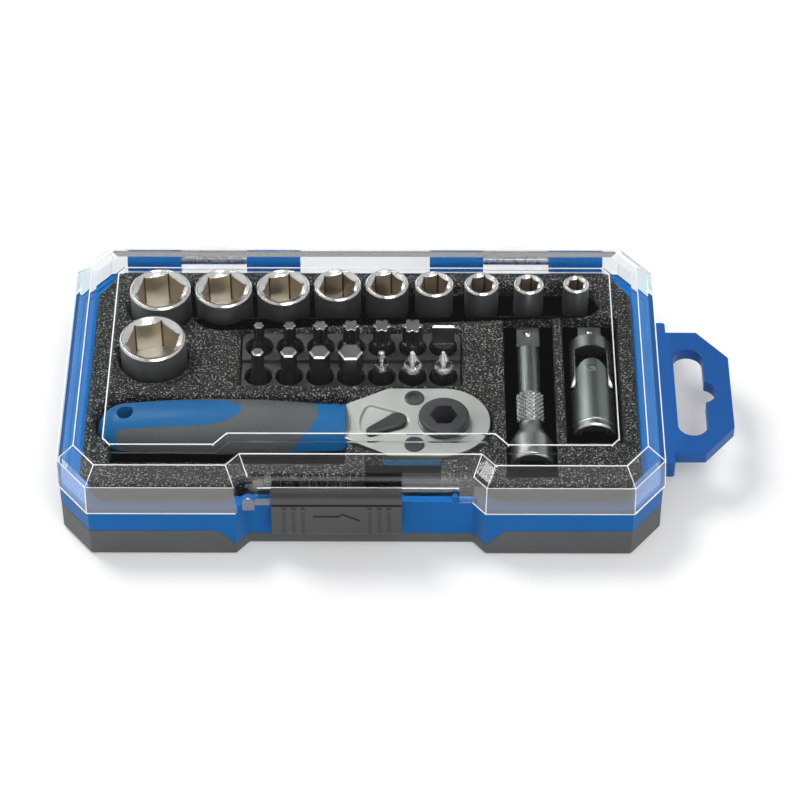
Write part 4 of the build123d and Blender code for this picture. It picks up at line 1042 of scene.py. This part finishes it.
@dataclass
class Bars:
    """Extension bar with its knurl, and the universal joint."""

    rounding: float = 0.25 * MM
    spider_rounding: float = 0.2 * MM
    knurl_around: int = 22
    knurl_rows: int = 7
    knurl_length: float = 10.4 * MM
    knurl_radius: float = 4.02 * MM
    knurl_height: float = 0.4 * MM
    knurl_middle: float = 20.6 * MM
    axis_height: float = 6.2 * MM
    arm_length: float = 9.0 * MM
    bell_length: float = 14.2 * MM
    rim_width: float = 0.9 * MM
    end_facing: float = 0.98
    ring_setback: float = 2.4 * MM
    ring_width: float = 0.55 * MM
    end_ring: tuple[float, float] = (0.1 * MM, 0.7 * MM)

    def build(self) -> None:
        """Build and dress both bars."""
        steel, bell, bright = (finish.make() for finish in (BAR_STEEL, BELL_STEEL, JOINT_BRIGHT))
        bar = Bench.copy_node("extension_bar", "extension", steel, bell, bright)
        Bench.soften(bar, self.rounding)
        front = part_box("extension_bar")[0].y
        for face in bar.data.polygons:
            back = face.center.y - front
            if back < self.bell_length:
                at_rim = back < self.rim_width and abs(face.normal.y) < self.end_facing
                face.material_index = 2 if at_rim else 1
        Bench.finish(bar, "case_base", "bar_steel", ("extension_bar",))
        self.build_knurl()
        for node, name, body, shines in (("joint_socket_fork", "swivel_socket", "case_base", self.on_ring),
                                         ("joint_drive_fork", "swivel_drive", "joint_drive", self.on_arm)):
            piece = Bench.copy_node(node, name, steel, bright)
            Bench.soften(piece, self.rounding)
            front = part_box(node)[0].y
            for face in piece.data.polygons:
                face.material_index = int(shines(face.center.y - front))
            Bench.finish(piece, body, "bar_steel", (node,))
        Bench.rounded("joint_spider", "swivel_cross", "joint_spider", "joint_bright", bright, self.spider_rounding)
        ball = BALL_STEEL.make()
        for node in ("extension_ball", "joint_ball"):
            dress_node(node, ball)

    def on_ring(self, back: float) -> bool:
        """Tell whether a place this far behind the socket's front is on one of its two bright rings."""
        return abs(back - self.ring_setback) < self.ring_width or self.end_ring[0] < back < self.end_ring[1]

    def on_arm(self, back: float) -> bool:
        """Tell whether a place this far behind the drive fork's front is on its arms."""
        return back < self.arm_length

    def build_knurl(self) -> None:
        """Crossed knurl of small pyramids around the extension bar's grip."""
        low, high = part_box("extension_bar")
        Bench.clear()
        bpy.ops.mesh.primitive_cylinder_add(vertices=self.knurl_around, radius=self.knurl_radius,
                                            depth=self.knurl_length, end_fill_type="NOTHING")
        knurl = bpy.context.object
        knurl.name = "extension_knurl"
        knurl.data.materials.append(KNURL_STEEL.make())
        half = self.knurl_length / 2

        def in_grid(edge: bpy.types.MeshEdge) -> bool:
            """Tell whether an edge of the square grid lies away from the knurl's ends."""
            a, b = (knurl.data.vertices[i].co for i in edge.vertices)
            upright = abs(a.x - b.x) + abs(a.y - b.y) < CLOSE
            level = abs(a.z - b.z) < CLOSE
            return upright or level and abs(a.z) <= half - CLOSE

        for row in range(1, self.knurl_rows):
            Bench.edit(knurl, Part.EDGE)
            level = row * self.knurl_length / self.knurl_rows - half
            bpy.ops.mesh.bisect(plane_co=(0, 0, level), plane_no=(0, 0, 1))
        Bench.edit(knurl, Part.FACE)
        bpy.ops.mesh.poke(offset=0.0)
        Bench.pick(knurl, Part.EDGE, in_grid)
        bpy.ops.mesh.dissolve_edges(use_verts=False)
        Bench.edit(knurl, Part.FACE)
        bpy.ops.mesh.poke(offset=self.knurl_height)
        Bench.clear()
        knurl.rotation_euler = (math.radians(90), 0, 0)
        knurl.location = ((low.x + high.x) / 2, low.y + self.knurl_middle, low.z + self.axis_height)
        Bench.apply_place(knurl)
        Bench.finish(knurl, "case_base", "bar_steel", smooth=5.0)


@dataclass
class Ratchet:
    """Ratchet head with its cover, lever and gear, and the two-part handle."""

    rounding: float = 0.3 * MM
    small_rounding: float = 0.2 * MM
    flank_facing: float = 0.5
    recess_rim: float = 1.1 * MM
    recess_depth: float = 0.5 * MM

    def build(self) -> None:
        """Build and dress the ratchet."""
        satin, dark, painted_reflection = (finish.make() for finish in (HEAD_SATIN, DARK_METAL, HEAD_FLANK_PAINTED_REFLECTION))
        head = Bench.copy_node("ratchet_head", "head_housing", satin, painted_reflection)
        Bench.soften(head, self.rounding)
        # front-facing flanks take the painted blue reflection
        for face in head.data.polygons:
            face.material_index = int(-face.normal.y > self.flank_facing and abs(face.normal.z) < UPRIGHT)
        Bench.finish(head, "case_base", "head_satin", ("ratchet_head",))
        Bench.rounded("ratchet_cover", "head_plate", "case_base", "head_satin", satin, self.rounding)
        screws = Bench.copy_node("cover_screws", "plate_screws", dark)
        self.sink_recess(screws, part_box("cover_screws")[1].z)
        Bench.soften(screws, self.small_rounding)
        Bench.finish(screws, "case_base", "dark_metal", ("cover_screws",))
        for node, name in (("drive_gear", "drive_disc"), ("reversing_lever", "lever")):
            Bench.rounded(node, name, node, "dark_metal", dark, self.small_rounding)
        dress_node("ratchet_pawl", dark)
        dress_node("pawl_spring", PIN_STEEL.make())
        Bench.rounded("handle_core", "handle_blue_core", "case_base", "handle_blue", HANDLE_BLUE.make())
        Bench.rounded("handle_grip", "handle_soft_grip", "case_base", "grip_grey", GRIP_GREY.make())

    def sink_recess(self, screws: Piece, top: float) -> None:
        """Sink a driver recess into each screw's head.

        Args:
            screws: The cover's screws.
            top: Height of their heads.
        """
        Bench.pick(screws, Part.FACE, lambda face: face.normal.z > LEVEL and face.center.z > top - NEAR)
        bpy.ops.mesh.inset(thickness=self.recess_rim, use_individual=True)
        bpy.ops.mesh.extrude_region_move(TRANSFORM_OT_translate={"value": (0, 0, -self.recess_depth)})
        Bench.clear()


@dataclass
class Studio:
    """Camera at the photograph's angle, pale floor, soft lamps and white surround."""

    lens: float = 141.92
    sensor: float = 36.0
    clip: tuple[float, float] = (0.01, 20.0)
    place: RGB = (14.03, -609.2, 621.35)
    pitch: float = 45.0
    yaw: float = -0.37
    roll: float = -0.15
    ambient: float = 0.42
    surround: float = 0.7
    cards: tuple[tuple[RGB, float, float, float], ...] = (((0.0, 1.0, 1.0), 30.0, 16.0, 0.06),
                                                          ((0.0, -1.0, 1.0), 28.0, 12.0, 0.25))
    lamps: tuple[tuple[str, RGB, float, float, bool], ...] = (("key", (-0.55, 0.45, 0.95), 0.55, 7.5, True),
                                                              ("fill", (0.25, -0.75, 0.95), 0.8, 7.0, False))
    floor_size: float = 6.0
    floor_tone: RGB = (0.78, 0.78, 0.78)
    floor_glow: float = 0.16
    floor_mirror: float = 0.5

    def build(self) -> None:
        """Set up view, light and floor."""
        bpy.context.scene.view_settings.view_transform = "Standard"
        self.build_camera()
        self.build_world()
        self.build_lamps()
        self.build_floor()

    def build_camera(self) -> None:
        """Place the camera from its fitted angles."""
        pitch, yaw, roll = (math.radians(angle) for angle in (self.pitch, self.yaw, self.roll))
        ahead = Vector((math.sin(yaw) * math.cos(pitch), math.cos(yaw) * math.cos(pitch), -math.sin(pitch)))
        level = Vector((math.cos(yaw), -math.sin(yaw), 0.0))
        upright = level.cross(ahead)
        right = math.cos(roll) * level + math.sin(roll) * upright
        up = math.cos(roll) * upright - math.sin(roll) * level
        data = bpy.data.cameras.new("photo_camera")
        data.lens = self.lens
        data.sensor_width = self.sensor
        data.clip_start, data.clip_end = self.clip
        camera = bpy.data.objects.new("photo_camera", data)
        turn = Matrix((right, up, -ahead)).transposed().to_4x4()
        camera.matrix_world = Matrix.Translation(Vector(self.place) * MM) @ turn
        bpy.context.scene.collection.objects.link(camera)
        bpy.context.scene.camera = camera

    @staticmethod
    def tell_rays(tree: Tree) -> tuple[Socket, Socket]:
        """Tell rays apart by what they met before.

        Args:
            tree: The node tree that asks.

        Returns:
            A socket that is 1 for the camera's view, also through the lid, and one that is 1 for reflections too.
        """
        path = add_node(tree, "LightPath").outputs
        met = add_node(tree, "Math", {0: path["Diffuse Depth"], 1: path["Glossy Depth"]}, operation="ADD")
        straight, mirrored = (add_node(tree, "Math", {0: depth, 1: 0.5}, operation="LESS_THAN").outputs[0]
                              for depth in (met.outputs[0], path["Diffuse Depth"]))
        return straight, mirrored

    @staticmethod
    def mix_tones(tree: Tree, factor: Socket, first: float | Socket, second: float | Socket) -> Socket:
        """Mix two grey tones, with a socket that gives the second one's share."""
        return add_node(tree, "Mix", {"Factor": factor, "A": first, "B": second}).outputs["Result"]

    def build_world(self) -> None:
        """White surround for the camera, with dark cards that the lid and the metals reflect."""
        world = bpy.data.worlds.new("surround")
        world.use_nodes = True
        bpy.context.scene.world = world
        tree = world.node_tree
        straight, mirrored = self.tell_rays(tree)
        where = add_node(tree, "TexCoord").outputs["Generated"]
        tone: float | Socket = self.surround
        for way, wide, narrow, level in self.cards:
            facing = add_node(tree, "VectorMath", {0: where, 1: Vector(way).normalized()}, operation="DOT_PRODUCT")
            card = add_node(tree, "MapRange", {
                "Value": facing.outputs["Value"], "From Min": math.cos(math.radians(wide)),
                "From Max": math.cos(math.radians(narrow))}, interpolation_type="SMOOTHSTEP")
            tone = self.mix_tones(tree, card.outputs["Result"], tone, level)
        lit = self.mix_tones(tree, mirrored, self.ambient, tone)
        set_inputs(tree, tree.nodes["Background"], {
            "Strength": self.mix_tones(tree, straight, lit, 1.0), "Color": rgba((1.0, 1.0, 1.0))})

    def build_lamps(self) -> None:
        """Large soft key from the upper left behind, with a fill from the front."""
        for name, spot, size, power, mirrored in self.lamps:
            data = bpy.data.lights.new(name, "AREA")
            data.shape = "DISK"
            data.size = size
            data.energy = power
            lamp = bpy.data.objects.new(name, data)
            lamp.location = spot
            lamp.visible_glossy = mirrored
            lamp.rotation_euler = (-Vector(spot)).to_track_quat("-Z", "Y").to_euler()
            bpy.context.scene.collection.objects.link(lamp)

    def build_floor(self) -> None:
        """Pale floor that keeps the object's shadow and is white elsewhere."""
        material, tree, shader = new_material("pale_floor")
        tree.nodes.remove(shader)
        straight, mirrored = self.tell_rays(tree)
        diffuse = add_node(tree, "BsdfDiffuse", {"Color": rgba(self.floor_tone)})
        bounce = self.mix_tones(tree, mirrored, 0.0, self.floor_mirror)
        glow = add_node(tree, "Emission", {"Strength": self.mix_tones(tree, straight, bounce, self.floor_glow)})
        both = add_node(tree, "AddShader", {0: diffuse.outputs["BSDF"], 1: glow.outputs["Emission"]})
        set_inputs(tree, tree.nodes["Material Output"], {"Surface": both.outputs["Shader"]})
        Bench.clear()
        bpy.ops.mesh.primitive_plane_add(size=self.floor_size, location=(0, 0, CAD_BOX[0].z))
        floor = bpy.context.object
        floor.name = "floor"
        floor.data.materials.append(material)


def main() -> None:
    """Build every sub-assembly and the studio."""
    for assembly in (Case(), Insert(), SocketRow(), BitSet(), Bars(), Ratchet()):
        LOG.info("building %s", type(assembly).__name__)
        assembly.build()
    Studio().build()


if __name__ == "__main__":
    main()
